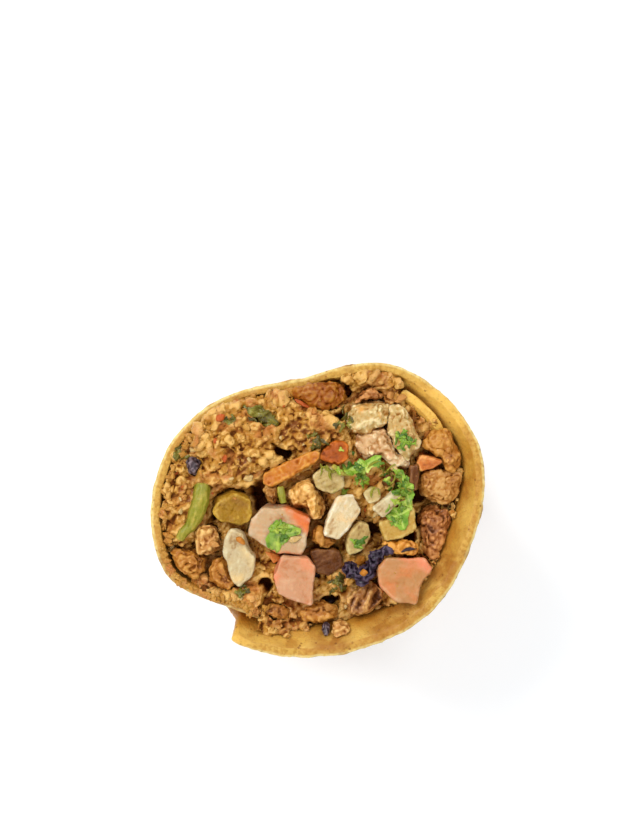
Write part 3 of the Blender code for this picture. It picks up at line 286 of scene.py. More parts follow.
def smooth_noise(points, size, seed):
    """Smooth noise from -1 to 1 whose features have this size."""
    p = points / size
    cell = np.floor(p)
    t = p - cell
    t = t * t * (3.0 - 2.0 * t)
    cell = cell.astype(np.int64)
    total = np.zeros(len(p))
    for step in itertools.product((0, 1), repeat=3):
        weight = np.ones(len(p))
        for k in range(3):
            weight *= t[:, k] if step[k] else 1.0 - t[:, k]
        total += weight * hashed(cell + np.array(step), seed)
    return total * 2.0 - 1.0


def fractal(points, size, seed, layers=3):
    """Several layers of smooth noise, each half as large as the one before."""
    total = np.zeros(len(points))
    for k in range(layers):
        total += smooth_noise(points, size / 2 ** k, seed + 17 * k) / 2 ** k
    return total


def scattered(points, size, seed):
    """Distances to the nearest and the next scattered centre, and the nearest one's number."""
    p = points / size
    base = np.floor(p).astype(np.int64)
    near = np.full(len(p), 9.0)
    second = np.full(len(p), 9.0)
    number = np.zeros(len(p))
    for step in itertools.product((-1, 0, 1), repeat=3):
        cell = base + np.array(step)
        centre = cell + np.stack([hashed(cell, seed + k) for k in (1, 2, 3)], axis=1)
        away = np.linalg.norm(p - centre, axis=1)
        closer = away < near
        second = np.where(closer, near, np.minimum(second, away))
        number = np.where(closer, hashed(cell, seed + 4), number)
        near = np.where(closer, away, near)
    return near, second, number


def pushed(points, reach, size, seed, step):
    """Points pushed about at random, as far as reach, so that cells and creases bend."""
    push = [smooth_noise(points, size, seed + step * k) for k in range(3)]
    return points + reach * np.stack(push, axis=1)


def smoothstep(x):
    """Ease from 0 to 1 as x goes from 0 to 1."""
    x = np.clip(x, 0.0, 1.0)
    return x * x * (3.0 - 2.0 * x)


def mix(a, b, share):
    """Value a at share 0 and b at share 1."""
    return a + (b - a) * share


# ---- meshes ----

def place(name, data):
    """New object in the scene for a mesh, a lamp or a camera."""
    obj = bpy.data.objects.new(name, data)
    bpy.context.scene.collection.objects.link(obj)
    return obj


def make_object(name, points, faces, smooth=True):
    """Object from points in millimetres, shaded smooth or in facets."""
    mesh = bpy.data.meshes.new(name)
    mesh.from_pydata((np.asarray(points) * MM).tolist(), [], faces)
    mesh.update()
    mesh.polygons.foreach_set("use_smooth", [smooth] * len(mesh.polygons))
    return place(name, mesh)


def join(name, bodies, smooth=True):
    """One object of many (points, faces, number) bodies, with each point's number."""
    points, faces, numbers = [], [], []
    start = 0
    for body, body_faces, number in bodies:
        points.append(body)
        faces += [tuple(k + start for k in face) for face in body_faces]
        numbers.append(np.full(len(body), number))
        start += len(body)
    return make_object(name, np.concatenate(points), faces, smooth), np.concatenate(numbers)


def read(items, key):
    """Three numbers of each item, such as its place, as rows."""
    values = np.empty(len(items) * 3)
    items.foreach_get(key, values)
    return values.reshape(-1, 3)


def read_points(obj):
    """An object's points in millimetres."""
    return read(obj.data.vertices, "co") / MM


def read_normals(obj):
    """An object's normals at its points."""
    return read(obj.data.vertex_normals, "vector")


def write_points(obj, points):
    """Move an object's points, given in millimetres."""
    obj.data.vertices.foreach_set("co", (points * MM).ravel())
    obj.data.update()


def paint(obj, name, channels):
    """Store up to four numbers at each point as a colour attribute."""
    table = np.zeros((len(obj.data.vertices), 4))
    table[:, 3] = 1.0
    for k, channel in enumerate(channels):
        table[:, k] = np.clip(channel, 0.0, 1.0)
    layer = obj.data.color_attributes.new(name=name, type="FLOAT_COLOR", domain="POINT")
    layer.data.foreach_set("color", table.ravel())


def wear(obj, looks, look, slot):
    """Give an object its material; its slot is not used."""
    obj.data.materials.clear()
    obj.data.materials.append(looks[look])


def weld(obj):
    """Join points that fall together and turn all faces outwards."""
    bm = bmesh.new()
    bm.from_mesh(obj.data)
    bmesh.ops.remove_doubles(bm, verts=bm.verts, dist=SAME_PLACE)
    bmesh.ops.recalc_face_normals(bm, faces=bm.faces)
    bm.to_mesh(obj.data)
    bm.free()


def welded_copy(node):
    """Copy of a frame node's mesh with its split points joined again."""
    bm = bmesh.new()
    bm.from_mesh(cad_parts[node].data)
    bmesh.ops.remove_doubles(bm, verts=bm.verts, dist=SAME_PLACE)
    return bm


def remeshed(name, bm, voxel, rounds):
    """Evenly meshed and slightly smoothed object from a bmesh."""
    mesh = bpy.data.meshes.new(name)
    bm.to_mesh(mesh)
    bm.free()
    obj = place(name, mesh)
    remesh = obj.modifiers.new("remesh", "REMESH")
    remesh.mode = "VOXEL"
    remesh.voxel_size = voxel * MM
    smooth = obj.modifiers.new("smooth", "SMOOTH")
    smooth.factor = 0.5
    smooth.iterations = rounds
    bpy.context.view_layer.update()
    evaluated = obj.evaluated_get(bpy.context.evaluated_depsgraph_get())
    mesh = bpy.data.meshes.new_from_object(evaluated)
    obj.modifiers.clear()
    obj.data = mesh
    mesh.polygons.foreach_set("use_smooth", [True] * len(mesh.polygons))
    return obj


def grain_axes(points, degrees):
    """Points stretched so that noise on them runs as fibres in a direction."""
    a = math.radians(degrees)
    along = points[:, 0] * math.cos(a) + points[:, 1] * math.sin(a)
    across = -points[:, 0] * math.sin(a) + points[:, 1] * math.cos(a)
    return np.stack((along / FIBRE_LENGTH, across, points[:, 2]), axis=1)


def roughen(points, normals, layers, grain, seed):
    """Displace points by a kind's bump layers; returns them with a tint."""
    moved = np.zeros(len(points))
    # The tint is a tone at random, made lighter where fibres, ridges and puffs are raised: partly the
    # grain's own colour, partly painted highlight.
    tint = 0.5 + 0.35 * fractal(points, 3.0, seed + 5)
    for k, (pattern, size, height) in enumerate(layers):
        own = seed + 31 * k
        if pattern == "noise":
            moved += height * fractal(points, size, own, 2)
        elif pattern == "fibre":
            line = fractal(grain_axes(points, grain), size, own, 2)
            moved += height * line
            tint += (0.2 + 0.4 * height) * line
        elif pattern == "ridges":
            line = 1.0 - 2.4 * np.abs(fractal(points, size, own, 2))
            moved += height * line
            tint += 0.15 * line
        elif pattern == "puffs":
            bent = pushed(points, 0.5 * size, 0.7 * size, seed, 5)
            puff = np.minimum(2.6 * np.abs(fractal(bent, size, own, 2)), 1.4) - 0.8
            moved += height * puff
            tint += 0.2 * puff
        else:
            near, second, number = scattered(pushed(points, 0.55 * size, 0.9 * size, seed, 3), size, own)
            moved += height * (smoothstep((second - near) / 0.35) - 0.7 + 0.9 * (number - 0.5))
            tint += 0.35 * (number - 0.5)
    return points + normals * moved[:, None], tint


def neighbours(obj):
    """Function that gives the mean of a value over each point's neighbours."""
    edges = np.empty(len(obj.data.edges) * 2, dtype=np.int64)
    obj.data.edges.foreach_get("vertices", edges)
    a, b = edges.reshape(-1, 2).T
    count = len(obj.data.vertices)
    links = np.maximum(np.bincount(a, minlength=count) + np.bincount(b, minlength=count), 1)

    def mean(values):
        return (np.bincount(a, values[b], count) + np.bincount(b, values[a], count)) / links

    return mean


def hollowness(obj, points, normals, rounds, depth):
    """How far each point lies in a hollow, from 0 on a crest over 0.5 to 1."""
    mean = neighbours(obj)
    smooth = points.copy()
    for _ in range(rounds):
        smooth = 0.3 * smooth + 0.7 * np.stack([mean(smooth[:, k]) for k in range(3)], axis=1)
    hollow = np.einsum("ij,ij->i", smooth - points, normals)
    return np.clip(0.5 + 0.5 * hollow / depth, 0.0, 1.0)


# ---- the wrap ----

def curve(points, x):
    """Smooth curve through (x, value) points."""
    xs, ys = np.array(points, float).T
    last = len(xs) - 1
    k = np.clip(np.searchsorted(xs, x, side="left") - 1, 0, last - 1)
    before = np.maximum(k - 1, 0)
    after = np.minimum(k + 2, last)
    x0, x1, y0, y1 = xs[k], xs[k + 1], ys[k], ys[k + 1]
    t = np.clip((x - x0) / (x1 - x0), 0.0, 1.0)
    slope0 = (y1 - ys[before]) / (x1 - xs[before]) * (x1 - x0)
    slope1 = (ys[after] - y0) / (xs[after] - x0) * (x1 - x0)
    return ((2 * t ** 3 - 3 * t ** 2 + 1) * y0 + (t ** 3 - 2 * t ** 2 + t) * slope0
            + (3 * t ** 2 - 2 * t ** 3) * y1 + (t ** 3 - t ** 2) * slope1)


def seam_at(z):
    """Direction of the wrap's free edge at this height."""
    return SEAM_ANGLE + SEAM_LEAN * (1.0 - np.minimum(z / HEIGHT, 1.0))


def flare(z):
    """Share to which the wall has opened out at this height."""
    return np.maximum(1.0 - (HEIGHT - z) / FLARE_DEPTH, 0.0) ** FLARE_CURVE


def outer_radius(turned, z):
    """Outside of the wrap, by degrees on from its free edge and by height."""
    degrees = seam_at(z) + turned
    a = np.radians(degrees)
    step = (WALL + SLIT_LEAST) * (1.0 - turned / 360.0)
    body = 1.0 / np.hypot(np.cos(a) / BODY_X, np.sin(a) / BODY_Y) + step
    body += BODY_SHIFT[0] * np.cos(a) + BODY_SHIFT[1] * np.sin(a)
    neck = curve(RIM, turned) - curve(LIP, turned) * (1.0 - flare(z))
    radius = mix(body, neck, smoothstep((z - BODY_FROM) / (BODY_TO - BODY_FROM)))
    radius += BELLY * np.sin(np.pi * np.clip(z / HEIGHT, 0.0, 1.0))
    fall = np.maximum(1.0 - np.maximum(z, 0.0) / FOOT_ROUND, 0.0)
    radius *= mix(FOOT_SHARE, 1.0, (1.0 - fall ** FOOT_CURVE) ** (1.0 / FOOT_CURVE))
    for direction, lean, depth, width, height in PLEATS:
        away = (degrees - direction - lean * z + 180.0) % 360.0 - 180.0
        fade = smoothstep(z / PLEAT_START) * smoothstep((height - z) / PLEAT_END)
        radius += depth * fade * np.exp(-(away / width) ** 2)
    return radius


def second_edge(under):
    """Height of the second layer's cut edge."""
    return HEIGHT - curve(DROP, under)


def first_inner(turned, z):
    """Inside of the first layer."""
    return outer_radius(turned, z) - WALL - curve(BACKING, turned) * (1.0 - flare(z))


def second_outer(under, z):
    """Outside of the second layer, which lies under the first."""
    at_seam = outer_radius(0.0 * under, z) - outer_radius(0.0 * under + 360.0, z) - WALL
    opened = smoothstep((z - second_edge(under) + SLIT_DEPTH) / SLIT_DEPTH)
    inside = mix(SLIT_LEAST, curve(SPREAD, under), opened)
    return first_inner(under, z) - mix(at_seam, inside, smoothstep(under / SLIT_BLEND))


def wrap_faces(rows, columns):
    """Faces of a section carried along, closed at its first and last place."""
    faces = []
    for i in range(rows - 1):
        for j in range(columns - 1):
            p = i * columns + j
            faces.append((p, p + 1, p + columns + 1, p + columns))
    last = (rows - 1) * columns
    for j in range(columns - 1):
        faces.append((last + j, last + j + 1, j + 1, j))
    faces.append(tuple(i * columns for i in range(rows)))
    faces.append(tuple(i * columns + columns - 1 for i in range(rows - 1, -1, -1)))
    return faces


def make_wrap():
    """The wound sheet: one section carried round one and a half turns."""
    whole = 360.0 + OVERLAP
    ends = np.array(SEAM_POINTS)
    turns = np.concatenate((ends, np.linspace(0.0, whole, TURN_POINTS)[1:-1], whole - ends[::-1]))
    turns.sort()
    first = turns <= 360.0
    under = np.maximum(turns - 360.0, 0.0)
    a = np.radians(SEAM_ANGLE + turns)
    edge = HEIGHT + RIM_WAVE * (np.sin(2 * a + 0.6) + 0.6 * np.sin(5 * a + 2.0) - 1.2)
    ring = np.stack((36 * np.cos(a), 36 * np.sin(a), 0 * a), axis=1)
    edge += 0.22 * fractal(ring, 5.0, 71) + 0.1 * fractal(ring, 1.2, 72)
    top = np.where(first, edge, np.minimum(edge, second_edge(under)))
    slim = 1.0 - 0.5 * np.maximum(1.0 - np.minimum(turns, whole - turns), 0.0) ** 2
    lift = np.where(first, 0.0, WALL)
    grid, region = [], []

    def at(z, outside):
        out = np.where(first, outer_radius(turns, z), second_outer(under, z))
        inn = np.where(first, first_inner(turns, z), second_outer(under, z) - WALL)
        middle = (out + inn) / 2
        return middle + ((out if outside else inn) - middle) * slim

    def add(z, radius, inside, edge=False, body=False):
        angle = np.radians(seam_at(z) + turns)
        grid.append(np.stack((radius * np.cos(angle), radius * np.sin(angle), z + 0.0 * turns), axis=1))
        region.append((inside, edge, body))

    # From under the base up, over the edge and back down to the floor.
    for share in np.arange(14) / 13:
        add(lift, (outer_radius(turns, 0.0 * turns) - 2 * lift) * share, 0.0, body=True)
    for share in (np.arange(1, 19) / 18) ** 1.6:
        z = FOOT_ROUND * share + lift * (1 - share)
        add(z, at(z, True), 0.0, body=True)
    for share in np.arange(1, 57) / 56:
        z = mix(FOOT_ROUND, top - (TOP_BAND + ROUND_OUT), share)
        add(z, at(z, True), 0.0, body=True)
    for depth in TOP_BAND * (1 - np.arange(1, 27) / 26) ** 1.15 + ROUND_OUT:
        add(top - depth, at(top - depth, True), 0.0)
    for share in (0.03, 0.09, 0.18, 0.3, 0.44, 0.58, 0.72, 0.84, 0.93, 0.98):
        z = top - (ROUND_IN * abs(2 * share - 1) ** 4 + (ROUND_OUT - ROUND_IN) * (1 - share) ** 3)
        add(z, mix(at(z, True), at(z, False), share), smoothstep(share), edge=True)
    for depth in ROUND_IN + INNER_BAND * (np.arange(31) / 30) ** 1.2:
        add(top - depth, at(top - depth, False), 1.0)
    for share in 1 - np.arange(1, 5) / 4:
        z = mix(FLOOR, top - (INNER_BAND + ROUND_IN), share)
        add(z, at(z, False) - TAPER * (1 - share), 1.0)
    for share in 1 - np.arange(1, 4) / 3:
        add(FLOOR, (at(FLOOR, False) - TAPER) * share, 1.0)

    points = np.concatenate(grid)
    points[:, :2] += AXIS
    obj = make_object("tortilla_wrap", points, wrap_faces(len(grid), len(turns)))
    dress_wrap(obj, np.repeat(np.array(region), len(turns), axis=0))
    weld(obj)
    return obj


def patches(points, places, soft=4.0, soft_share=0.0, uneven=0.0):
    """How far each point lies within round patches about the roll's axis, from 0 to 1."""
    within = np.zeros(len(points))
    for x, y, radius in places:
        away = np.hypot(points[:, 0] - x - AXIS[0], points[:, 1] - y - AXIS[1]) + uneven
        within = np.maximum(within, smoothstep((radius - away) / (soft + soft_share * radius)))
    return within


def dress_wrap(obj, region):
    """Waves, wrinkles and blisters of the tortilla, and the masks for its colours."""
    points = read_points(obj)
    normals = read_normals(obj)
    inside, edge, body = region.T
    z = points[:, 2]
    out = points.copy()
    out[:, 2] = 0.0
    out /= np.maximum(np.linalg.norm(out, axis=1), 1e-6)[:, None]
    angle = np.arctan2(points[:, 1], points[:, 0])
    sheet = np.stack((np.cos(angle) * 34, np.sin(angle) * 34, z / 3.2), axis=1)
    on_wall = smoothstep(z / 6.0)
    wave = 0.32 * fractal(points * (1, 1, 0.55), 15.0, 11, 2) + 0.2 * fractal(sheet, 4.2, 12, 2)
    wave *= on_wall * mix(1.0, 0.55, smoothstep((z - 60.0) / 12.0))
    crease = 1.0 - np.abs(fractal(sheet * (1, 1, 0.7), 7.0, 13, 2))
    wave -= 0.35 * np.maximum(crease - 0.86, 0.0) / 0.14 * on_wall * body
    near, _, number = scattered(points * (1, 1, 0.8), 5.2, 21)
    blister = smoothstep(1.0 - near / 0.46) * (number > 0.45)
    small_near, _, small_number = scattered(points, 2.1, 22)
    pimple = smoothstep(1.0 - small_near / 0.42) * (small_number > 0.7)
    relief = (0.38 * blister + 0.14 * pimple) * (1.0 - edge) * on_wall
    relief += 0.05 * fractal(points, 0.9, 23, 2) + edge * 0.12 * fractal(points, 0.5, 24, 2)
    points += out * wave[:, None] + normals * relief[:, None]
    flat = z < 0.01
    points[:, 2] = np.maximum(points[:, 2], 0.0)
    dent = 0.5 * smoothstep(fractal(points, 8.0, 25, 2) * 1.4)
    points[flat, 2] += dent[flat] * 0.4
    write_points(obj, points)
    toast = smoothstep(blister * 1.2) * mix(0.4, 1.0, number)
    toast = np.maximum(toast, 0.7 * pimple * small_number)
    # Depth below the rim, for the painted shade down the inner face.
    depth = np.clip((HEIGHT - z) / 9.0, 0.0, 1.0)
    greasy = np.maximum(patches(points, GREASED) * inside, patches(points, STAINED) * edge)
    paint(obj, "looks", (toast, inside, edge))
    # Second channel: patches of painted light on the inner face and edge.
    paint(obj, "place", (depth, patches(points, PAINTED_LIGHT) * np.maximum(inside, edge), greasy))


# ---- materials ----

# Cooked or cut foods: family, lightest, middle and darkest shade, then the sauce colour on them, which on
# the heap also paints shade, and how much of it, and the spots on them as (size, amount, colour, softness).
FOODS = {
    "mince": ("mince", (209, 162, 84), (174, 121, 43), (113, 60, 20), (138, 74, 28), 0.5,
              (4.6, 0.54, (178, 112, 50), 0.24)),
    "mince_light": ("meat", (204, 156, 81), (179, 127, 51), (124, 76, 23), (120, 64, 24), 0.4,
                    (1.1, 0.34, (176, 92, 44), 0.06)),
    "meat": ("meat", (188, 131, 54), (162, 101, 34), (107, 58, 15)),
    "meat_tan": ("meat", (189, 139, 71), (164, 107, 44), (112, 62, 19)),
    "meat_light": ("meat", (226, 179, 107), (202, 147, 70), (146, 91, 37)),
    "meat_gold": ("meat", (208, 143, 57), (182, 113, 33), (123, 66, 17)),
    "meat_pale": ("meat", (212, 166, 95), (180, 124, 60), (128, 74, 28)),
    "meat_dark": ("meat", (189, 128, 67), (144, 84, 35), (83, 42, 15)),
    "meat_red": ("meat", (162, 101, 22), (139, 72, 10), (87, 36, 4)),
    "chicken": ("chicken", (218, 196, 144), (185, 152, 92), (154, 104, 44), (190, 122, 52), 0.65,
                (2.4, 0.46, (206, 150, 74), 0.2)),
    "chicken_pink": ("chicken", (226, 200, 155), (196, 156, 108), (162, 113, 62), (188, 116, 56), 0.6,
                     (2.8, 0.46, (204, 140, 100), 0.2)),
    "tomato_pale": ("tomato_red", (195, 170, 135), (183, 149, 108), (169, 119, 78), (206, 120, 66), 0.4,
                    (4.6, 0.54, (214, 150, 98), 0.3)),
    "tomato": ("tomato", (190, 145, 100), (178, 125, 75), (166, 102, 53), (212, 112, 56), 0.35,
               (5.0, 0.56, (196, 120, 68), 0.3)),
    "tomato_pink": ("tomato", (204, 164, 128), (190, 138, 100), (178, 114, 72), (212, 112, 56), 0.35,
                    (5.0, 0.5, (208, 134, 92), 0.3)),
    "tomato_skin": ("tomato_skin", (221, 157, 83), (192, 111, 47), (147, 67, 23), (130, 50, 20), 0.5, None),
    "onion_clear": ("onion", (222, 210, 182), (205, 184, 142), (173, 135, 88), (204, 150, 82), 0.45,
                    (4.0, 0.5, (228, 178, 108), 0.3)),
    "onion_cream": ("onion", (200, 188, 148), (188, 166, 124), (156, 123, 77), (188, 132, 66), 0.5,
                    (4.4, 0.5, (216, 184, 124), 0.3)),
    "onion_tan": ("onion", (197, 179, 117), (174, 145, 86), (131, 94, 47), (150, 92, 44), 0.6,
                  (3.0, 0.5, (176, 128, 62), 0.25)),
    "onion_green": ("onion", (206, 187, 136), (181, 155, 96), (141, 111, 57), (158, 116, 52), 0.6,
                    (2.6, 0.5, (150, 140, 62), 0.25)),
    "onion_brown": ("onion", (126, 79, 35), (99, 54, 19), (62, 28, 7), (96, 56, 28), 0.6, None),
    "onion_striped": ("onion", (196, 147, 78), (145, 91, 38), (75, 37, 12), (96, 54, 26), 0.5, None),
    "onion_bit": ("onion", (222, 200, 146), (200, 168, 108), (164, 124, 66), (150, 92, 36), 0.6, None),
    "potato": ("potato", (194, 166, 90), (177, 138, 60), (144, 97, 29), (176, 112, 40), 0.5, None),
    "potato_olive": ("potato_olive", (190, 152, 54), (154, 112, 26), (100, 66, 12), (116, 74, 26), 0.6,
                     (3.2, 0.5, (142, 98, 38), 0.3)),
    "pepper": ("pepper", (199, 136, 49), (180, 105, 26), (139, 67, 10), (150, 74, 22), 0.5, None),
    "pepper_skin": ("pepper_skin", (188, 98, 16), (154, 72, 4), (92, 34, 1), (86, 34, 3), 0.6, None),
    "stem": ("stem", (166, 148, 54), (132, 129, 32), (89, 96, 16), (140, 116, 44), 0.5, None),
    "bean": ("bean", (110, 92, 96), (56, 42, 48), (22, 14, 18), (48, 28, 20), 0.5, None),
    "bean_skin": ("bean_skin", (62, 46, 66), (30, 18, 34), (12, 6, 14), (58, 30, 16), 0.6, None),
    "red_bit": ("red", (204, 116, 50), (176, 82, 26), (126, 48, 12), (150, 92, 36), 0.6, None),
}
# What a family of foods shares: gloss, depth of its glow, grain, the colours of its skin, which on the
# mince are a near-black painted shadow for the gaps, and how strongly crests get a painted highlight.
FAMILIES = {
    # On the mince the skin colours are a near-black painted shadow for the gaps, and crests get a painted
    # highlight of this strength.
    "mince": dict(coat=0.1, crumbly=True, grain=0.9, skin=((8, 3, 6), (34, 16, 12)), bright=0.35),
    "meat": dict(),
    "chicken": dict(subsurface=0.25),
    "tomato_red": dict(rough=(0.3, 0.5), coat=0.2, subsurface=0.3, reach=(1.0, 0.35, 0.2),
                       skin=((196, 88, 36), (218, 122, 58))),
    "tomato": dict(rough=(0.3, 0.5), coat=0.2, subsurface=0.3, reach=(1.0, 0.35, 0.2),
                   skin=((208, 114, 72), (222, 148, 112))),
    "tomato_skin": dict(rough=(0.32, 0.5), subsurface=0.2, reach=(1.0, 0.3, 0.15), grain=0.4),
    "onion": dict(rough=(0.24, 0.42), coat=0.25, subsurface=0.35, reach=(1.0, 0.8, 0.5), grain=0.35),
    "potato": dict(coat=0.25, subsurface=0.2),
    "potato_olive": dict(coat=0.1, subsurface=0.15),
    "pepper": dict(rough=(0.34, 0.5), coat=0.12, subsurface=0.2, reach=(1.0, 0.4, 0.15)),
    "pepper_skin": dict(rough=(0.42, 0.58), coat=0.0, subsurface=0.05, reach=(1.0, 0.4, 0.1), grain=0.6),
    "stem": dict(rough=(0.34, 0.5), subsurface=0.25, reach=(0.6, 1.0, 0.3), grain=0.4),
    "bean": dict(rough=(0.3, 0.46), coat=0.25, subsurface=0.0),
    "bean_skin": dict(rough=(0.3, 0.46), coat=0.2, subsurface=0.0),
    "red": dict(coat=0.1),
}
MEAT_SAUCE = (122, 68, 26)
MEAT_SPOTS = (0.9, 0.34, 0.1)     # size, amount, softness; their colour is the lightest shade, lighter yet

# Leaves: lightest, middle and darkest shade.
HERB_LOOKS = {
    "leaf_bright": ((214, 222, 112), (146, 182, 56), (84, 126, 30)),
    "leaf": ((184, 198, 73), (126, 158, 39), (66, 102, 19)),
    "leaf_dark": ((150, 142, 50), (116, 106, 32), (76, 64, 18)),
}


def linear(colour):
    """sRGB colour from 0 to 255 as linear values with full cover."""
    values = []
    for channel in colour:
        c = channel / 255.0
        values.append(c / 12.92 if c <= 0.04045 else ((c + 0.055) / 1.055) ** 2.4)
    return (*values, 1.0)


def lighter(colour, by):
    """Colour with every channel raised."""
    return tuple(min(c + by, 255) for c in colour)


class Look:
    """Node material that is built up step by step."""

    def __init__(self, name, roughness, coat=0.0, subsurface=0.0, reach=(1.0, 0.5, 0.25)):
        self.material = bpy.data.materials.new(name)
        self.material.use_nodes = True
        self.tree = self.material.node_tree
        self.shader = self.tree.nodes["Principled BSDF"]
        self.set(Roughness=roughness, Specular_IOR_Level=0.22)
        if coat:
            self.set(Coat_Weight=coat, Coat_Roughness=0.22)
        if subsurface:
            self.set(Subsurface_Weight=subsurface, Subsurface_Radius=reach, Subsurface_Scale=0.9 * MM)
        self.place = self.node("TexCoord", {}, "Object")

    def give(self, socket, value):
        """Give a socket a value or a link."""
        if isinstance(value, bpy.types.NodeSocket):
            self.tree.links.new(value, socket)
        else:
            socket.default_value = value

    def node(self, kind, inputs, output, **settings):
        """An output of a new node, or all of them; each input gets a value or a link."""
        made = self.tree.nodes.new(f"ShaderNode{kind}")
        for key, value in settings.items():
            setattr(made, key, value)
        for key, value in inputs.items():
            self.give(made.inputs[key], value)
        return made.outputs if output is None else made.outputs[output]

    def set(self, **inputs):
        """Value or link for the shader's own inputs."""
        for key, value in inputs.items():
            self.give(self.shader.inputs[key.replace("_", " ")], value)

    def noise(self, size, detail=3.0, stretch=None, warp=0.0):
        """Noise from 0 to 1 with features of this size; stretch is factors and a turn."""
        place = self.place
        if stretch:
            turn = (0, 0, math.radians(stretch[1]))
            inputs = {"Vector": place, "Scale": stretch[0], "Rotation": turn}
            place = self.node("Mapping", inputs, "Vector", vector_type="TEXTURE")
        inputs = {"Vector": place, "Scale": 1.0 / (size * MM), "Detail": detail, "Distortion": warp}
        return self.node("TexNoise", inputs, "Fac")

    def dots(self, size):
        """Distance from scattered centres, in cells of this size."""
        return self.node("TexVoronoi", {"Vector": self.place, "Scale": 1.0 / (size * MM)}, "Distance")

    def painted(self, name):
        """The three channels of a colour attribute."""
        source = self.node("Attribute", {}, "Color", attribute_name=name)
        return self.node("SeparateColor", {"Color": source}, None)

    def range(self, value, start, end, low=0.0, high=1.0):
        """Value mapped smoothly from start..end to low..high."""
        inputs = {"Value": value, "From Min": start, "From Max": end, "To Min": low, "To Max": high}
        return self.node("MapRange", inputs, "Result", interpolation_type="SMOOTHSTEP")

    def math(self, operation, a, b):
        """Sum, product or other operation on two numbers."""
        return self.node("Math", {0: a, 1: b}, "Value", operation=operation)

    def times(self, a, b):
        """Product of two numbers."""
        return self.math("MULTIPLY", a, b)

    def plus(self, a, b):
        """Sum of two numbers."""
        return self.math("ADD", a, b)

    def blend(self, share, a, b):
        """Mix of two colours, each a socket or sRGB."""
        inputs = {0: share}
        for key, value in ((6, a), (7, b)):
            inputs[key] = value if isinstance(value, bpy.types.NodeSocket) else linear(value)
        return self.node("Mix", inputs, 2, data_type="RGBA")

    def mottle(self, colour, over, size, detail, start, end, share=None, warp=0.0, stretch=None):
        """Colour with another one over it in patches of this size, where noise runs from start to end."""
        patch = self.range(self.noise(size, detail, stretch, warp), start, end)
        return self.blend(self.times(patch, share) if share else patch, colour, over)

    def bump(self, *layers):
        """Relief from (height, depth in millimetres) layers."""
        normal = None
        for height, depth in layers:
            inputs = {"Height": height, "Distance": depth * MM, "Strength": 1.0}
            if normal:
                inputs["Normal"] = normal
            normal = self.node("Bump", inputs, "Normal")
        self.set(Normal=normal)


def tortilla_look():
    """Griddled flour tortilla: golden, with toasted blisters and specks, painted shade down its inner face
    and patches of painted light.
    """
    look = Look("tortilla_griddled", 0.55, coat=0.06, subsurface=0.12, reach=(1.0, 0.6, 0.3))
    toast, inside, edge = look.painted("looks")
    depth, painted_light, greased = look.painted("place")
    colour = look.mottle((204, 152, 72), (184, 126, 48), 7.0, 4.0, 0.38, 0.66, warp=0.6)
    colour = look.mottle(colour, (218, 174, 98), 2.2, 4.0, 0.45, 0.72, 0.45)

    inner = look.mottle((204, 162, 72), (180, 132, 44), 4.5, 4.0, 0.36, 0.64)
    inner = look.mottle(inner, (176, 116, 40), 1.4, 3.0, 0.42, 0.66, 0.4, stretch=((1.0, 1.0, 0.12), 0))
    inner = look.mottle(inner, (216, 178, 96), 9.0, 3.0, 0.44, 0.64, 0.55)
    inner = look.mottle(inner, (162, 104, 28), 5.0, 4.0, 0.46, 0.64, 0.65, warp=0.5)
    # Painted shade: the inner face is darker the deeper it lies below the rim.
    inner = look.blend(look.range(depth, 0.6, 1.2, 0.0, 0.3), inner, (182, 126, 46))
    inner = look.blend(look.range(depth, 0.12, 0.6, 0.0, 0.4), inner, (180, 118, 34))
    colour = look.blend(inside, colour, inner)

    outer_rim = look.mottle((222, 199, 128), (206, 172, 95), 1.2, 3.0, 0.42, 0.62)
    inner_rim = look.mottle((196, 154, 69), (176, 130, 49), 0.9, 3.0, 0.42, 0.62)
    inner_rim = look.mottle(inner_rim, (170, 110, 40), 8.0, 3.0, 0.42, 0.60, 0.4)
    colour = look.blend(edge, colour, look.blend(look.range(inside, 0.05, 0.5), outer_rim, inner_rim))

    grease = look.range(look.noise(3.2, 4.0, warp=0.6), 0.3, 0.62, 0.25, 0.85)
    colour = look.blend(look.times(greased, grease), colour, (152, 95, 27))
    # Painted light: the marked patches of the inner face and edge are lightened.
    light = look.range(look.noise(2.6, 3.0), 0.3, 0.7, 0.6, 0.95)
    colour = look.blend(look.times(painted_light, light), colour, (224, 178, 82))

    browned = look.mottle((160, 98, 36), (118, 66, 22), 0.9, 4.0, 0.4, 0.62)
    scorch = look.times(toast, look.range(look.noise(1.6, 4.0), 0.36, 0.6))
    keep = look.math("SUBTRACT", 1.0, look.times(inside, 0.65))
    colour = look.blend(look.times(look.times(scorch, keep), 0.85), colour, browned)
    specks = look.range(look.dots(1.5), 0.24, 0.14)
    chosen = look.range(look.noise(2.4, 2.0), 0.52, 0.6)
    colour = look.blend(look.times(look.times(specks, chosen), 0.75), colour, (124, 74, 26))
    pores = look.range(look.dots(0.55), 0.1, 0.34)
    colour = look.blend(look.times(look.math("SUBTRACT", 1.0, pores), 0.25), colour, (140, 90, 34))

    dull = look.range(look.noise(3.0, 3.0), 0.3, 0.7, 0.46, 0.68)
    look.set(Base_Color=colour, Roughness=look.plus(dull, look.times(inside, -0.1)))
    look.bump((look.noise(1.3, 4.0), 0.25), (look.noise(0.35, 3.0), 0.1), (pores, 0.06))
    return look.material


